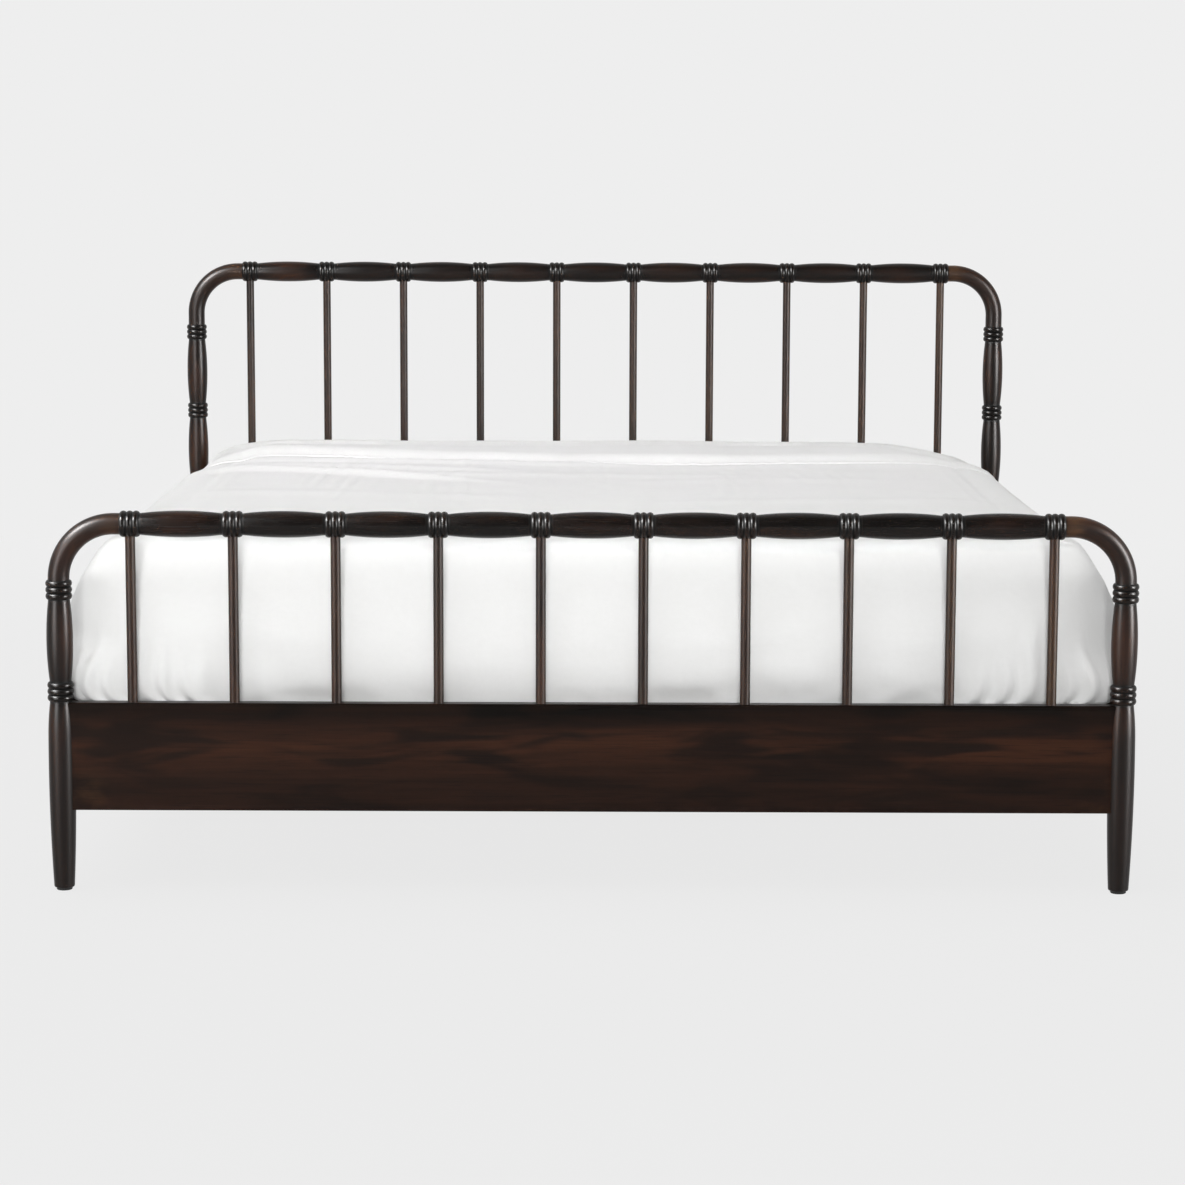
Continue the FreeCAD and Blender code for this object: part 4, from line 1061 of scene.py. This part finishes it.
dress([f"slat_{n + 1:02d}" for n in range(10)], planed("plain_wood_slat", "X"))
dress(["slat_cleat_left", "slat_cleat_right", "centre_beam"], planed("plain_wood_beam", "Y"))
dress(["support_leg_foot", "support_leg_head"], planed("plain_wood_leg", "Z"))
zinc = speckled("zinc_steel", (0.52, 0.53, 0.53), (0.68, 0.68, 0.66), 1.0, 0.34, 240.0)
dress(["rail_hook_plates", "post_plates", "beam_hangers", "wood_screws"], zinc)
dress(["leveller_stem_foot", "leveller_stem_head"], zinc)
nylon = speckled("nylon", (0.014, 0.014, 0.014), (0.024, 0.024, 0.024), 0.0, 0.52, 320.0)
dress(["floor_glides", "leveller_pad_foot", "leveller_pad_head"], nylon)


def weave_group():
    """Crossing threads on a cloth's own flat place, with slubs and soft crumples."""
    tree, given, out = new_group(
        "woven cloth", [("Place", "vector"), ("Threads", "value")],
        [("Height", "value"), ("Tone", "value")],
    )
    place = given["Place"]
    bands = []
    for axis in ("X", "Y"):
        sockets = {"Vector": place, "Scale": given["Threads"], "Distortion": 0.6, "Detail": 1.0}
        wave = put(tree, "TexWave", sockets, wave_type="BANDS", bands_direction=axis, wave_profile="SIN")
        bands.append(wave.outputs["Fac"])
    threads = calc(tree, "MAXIMUM", bands[0], bands[1])
    slub = speckle(tree, place, 90.0, (1, 1, 1), 3, 0.6)
    crumple = speckle(tree, place, 14.0, (1, 1, 1), 4, 0.55, 0.4)
    height = calc(tree, "ADD", calc(tree, "MULTIPLY", threads, 0.10), calc(tree, "MULTIPLY", slub, 0.18))
    tree.links.new(calc(tree, "ADD", height, crumple), out["Height"])
    tone = calc(tree, "ADD", calc(tree, "MULTIPLY", slub, 0.5), calc(tree, "MULTIPLY", crumple, 0.5))
    tree.links.new(tone, out["Tone"])
    return tree


WEAVE = weave_group()


def woven(name, place_of, low, high, threads, bump_depth):
    made, tree, skin = new_finish(name)
    weave = put(tree, "Group", node_tree=WEAVE)
    tree.links.new(place_of(tree), weave.inputs["Place"])
    weave.inputs["Threads"].default_value = threads
    colour = mixed(tree, weave.outputs["Tone"], shade(low), shade(high))
    tree.links.new(colour, skin.inputs["Base Color"])
    rough = ramped(tree, weave.outputs["Tone"], 0.2, 0.8, 0.86, 0.78)
    tree.links.new(rough, skin.inputs["Roughness"])
    bump = put(tree, "Bump", {"Height": weave.outputs["Height"], "Strength": 0.35, "Distance": bump_depth})
    tree.links.new(bump.outputs["Normal"], skin.inputs["Normal"])
    skin.inputs["Sheen Weight"].default_value = 0.12
    skin.inputs["Specular IOR Level"].default_value = 0.25
    return made


def flat_place(tree):
    return put(tree, "Attribute", attribute_name="cloth_place").outputs["Vector"]


coverlet.data.materials.append(
    woven("coverlet_cotton", flat_place, (0.80, 0.80, 0.79), (0.86, 0.86, 0.855), 320.0, 0.004)
)
mattress.data.materials.append(
    woven("ticking", lambda tree: put(tree, "TexCoord").outputs["Object"],
          (0.70, 0.69, 0.66), (0.78, 0.77, 0.74), 160.0, 0.003)
)

# Camera at the photograph's place, then the studio.
CAMERA_AT = Vector((0.0149, -6.928, 1.3857))
PITCH_DOWN, ROLL, YAW = 0.137, 0.0031, -0.0024
lens = bpy.data.cameras.new("camera")
lens.lens = 95.78
lens.sensor_width = 36
lens.clip_end = 200
camera = bpy.data.objects.new("camera", lens)
scene.collection.objects.link(camera)
heading = Vector((math.sin(YAW), math.cos(YAW), 0))
level = Vector((math.cos(YAW), -math.sin(YAW), 0))
ahead = heading * math.cos(PITCH_DOWN) - Vector((0, 0, math.sin(PITCH_DOWN)))
rise = heading * math.sin(PITCH_DOWN) + Vector((0, 0, math.cos(PITCH_DOWN)))
right = level * math.cos(ROLL) + rise * math.sin(ROLL)
up = rise * math.cos(ROLL) - level * math.sin(ROLL)
turn = Matrix((right, up, -ahead)).transposed()
camera.matrix_world = Matrix.Translation(CAMERA_AT) @ turn.to_4x4()
scene.camera = camera

# Levels of the backdrop, of the plain light from all round, and of the room that gloss sees.
PALE = 0.855
AMBIENT = 0.36
ROOM = 0.21
FLOOR = 40
world = bpy.data.worlds.new("studio")
world.use_nodes = True
scene.world = world
tree = world.node_tree
tree.nodes.clear()


def seen_directly(tree):
    """1 for the rays that show the backdrop: seen by the camera, mirrored or through glass."""
    path = put(tree, "LightPath").outputs
    first = calc(tree, "MAXIMUM", path["Is Camera Ray"], path["Is Glossy Ray"])
    return calc(tree, "MAXIMUM", first, path["Is Transmission Ray"])


# Gloss sees the pale backdrop behind the bed and the dimmer room that the camera stands in.
ahead_of = put(tree, "SeparateXYZ", {"Vector": put(tree, "TexCoord").outputs["Generated"]}).outputs["Y"]
in_gloss = ramped(tree, ahead_of, -0.3, 0.3, ROOM, PALE)
path = put(tree, "LightPath").outputs
level_of = put(tree, "Mix", {0: path["Is Glossy Ray"], 2: AMBIENT}, data_type="FLOAT")
tree.links.new(in_gloss, level_of.inputs[3])
shown = calc(tree, "MAXIMUM", path["Is Camera Ray"], path["Is Transmission Ray"])
level_of = put(tree, "Mix", {0: shown, 2: level_of.outputs[0], 3: PALE}, data_type="FLOAT").outputs[0]
back = put(tree, "Background", {"Color": (1, 1, 1, 1), "Strength": level_of})
tree.links.new(back.outputs["Background"], put(tree, "OutputWorld").inputs["Surface"])

edges = [(-FLOOR, -FLOOR, 0), (FLOOR, -FLOOR, 0), (FLOOR, FLOOR, 0), (-FLOOR, FLOOR, 0)]
floor = new_piece("floor", edges, [(0, 1, 2, 3)])
made, tree, skin = new_finish("studio_floor")
tree.nodes.remove(skin)
place = put(tree, "TexCoord").outputs["Object"]
far = put(tree, "VectorMath", {0: place}, operation="LENGTH").outputs["Value"]
shadow_share = ramped(tree, far, 1.6, 5.0, 0.08, 0.0)
glow = put(tree, "Emission", {"Color": (1, 1, 1, 1), "Strength": PALE})
matt = put(tree, "BsdfDiffuse", {"Color": (0.62, 0.62, 0.62, 1)})
seen = put(tree, "MixShader", {0: shadow_share, 1: glow.outputs[0], 2: matt.outputs[0]})
whole = put(tree, "MixShader", {0: seen_directly(tree), 1: matt.outputs[0], 2: seen.outputs[0]})
ending = next(n for n in tree.nodes if n.type == "OUTPUT_MATERIAL")
tree.links.new(whole.outputs[0], ending.inputs["Surface"])
floor.data.materials.append(made)


# The sheen panels stand for the gloss on the stained wood only.
stained_parts = bpy.data.collections.new("stained_parts")
planks = [nodes[n] for n in ("foot_panel", "head_panel", "side_rail_left", "side_rail_right")]
for piece in turned_work + planks:
    stained_parts.objects.link(piece)


def softbox(name, at, aim, width, height, power, sheen=False, spread=180):
    """A soft panel of light. A sheen panel shows only in gloss, the others only in plain light.
    The spread, in degrees, is how far its light fans out."""
    lamp = bpy.data.lights.new(name, "AREA")
    lamp.shape = "RECTANGLE"
    lamp.size, lamp.size_y = width, height
    lamp.energy = power
    lamp.spread = math.radians(spread)
    made = bpy.data.objects.new(name, lamp)
    scene.collection.objects.link(made)
    made.location = at
    made.rotation_euler = (Vector(aim) - Vector(at)).to_track_quat("-Z", "Y").to_euler()
    made.visible_camera = False
    made.visible_diffuse = not sheen
    made.visible_glossy = sheen
    if sheen:
        made.light_linking.receiver_collection = stained_parts


softbox("front", (-1.0, -6.9, 1.5), (-1.0, -1.0, 0.95), 4.4, 0.3, 17.2, spread=26)
softbox("above", (-3.9, -0.9, 11.6), (0, 0.3, 0.5), 15.0, 12.0, 1090)
softbox("sheen_left", (-2.8, -3.4, 1.1), (0, -0.8, 1.1), 1.5, 2.4, 138, sheen=True)
softbox("sheen_high", (-5.7, -3.9, 5.5), (0, -0.8, 0.7), 3.0, 2.4, 2600, sheen=True)
softbox("sheen_right", (5.5, -3.6, 1.7), (0, -0.8, 1.2), 1.8, 4.2, 1130, sheen=True)
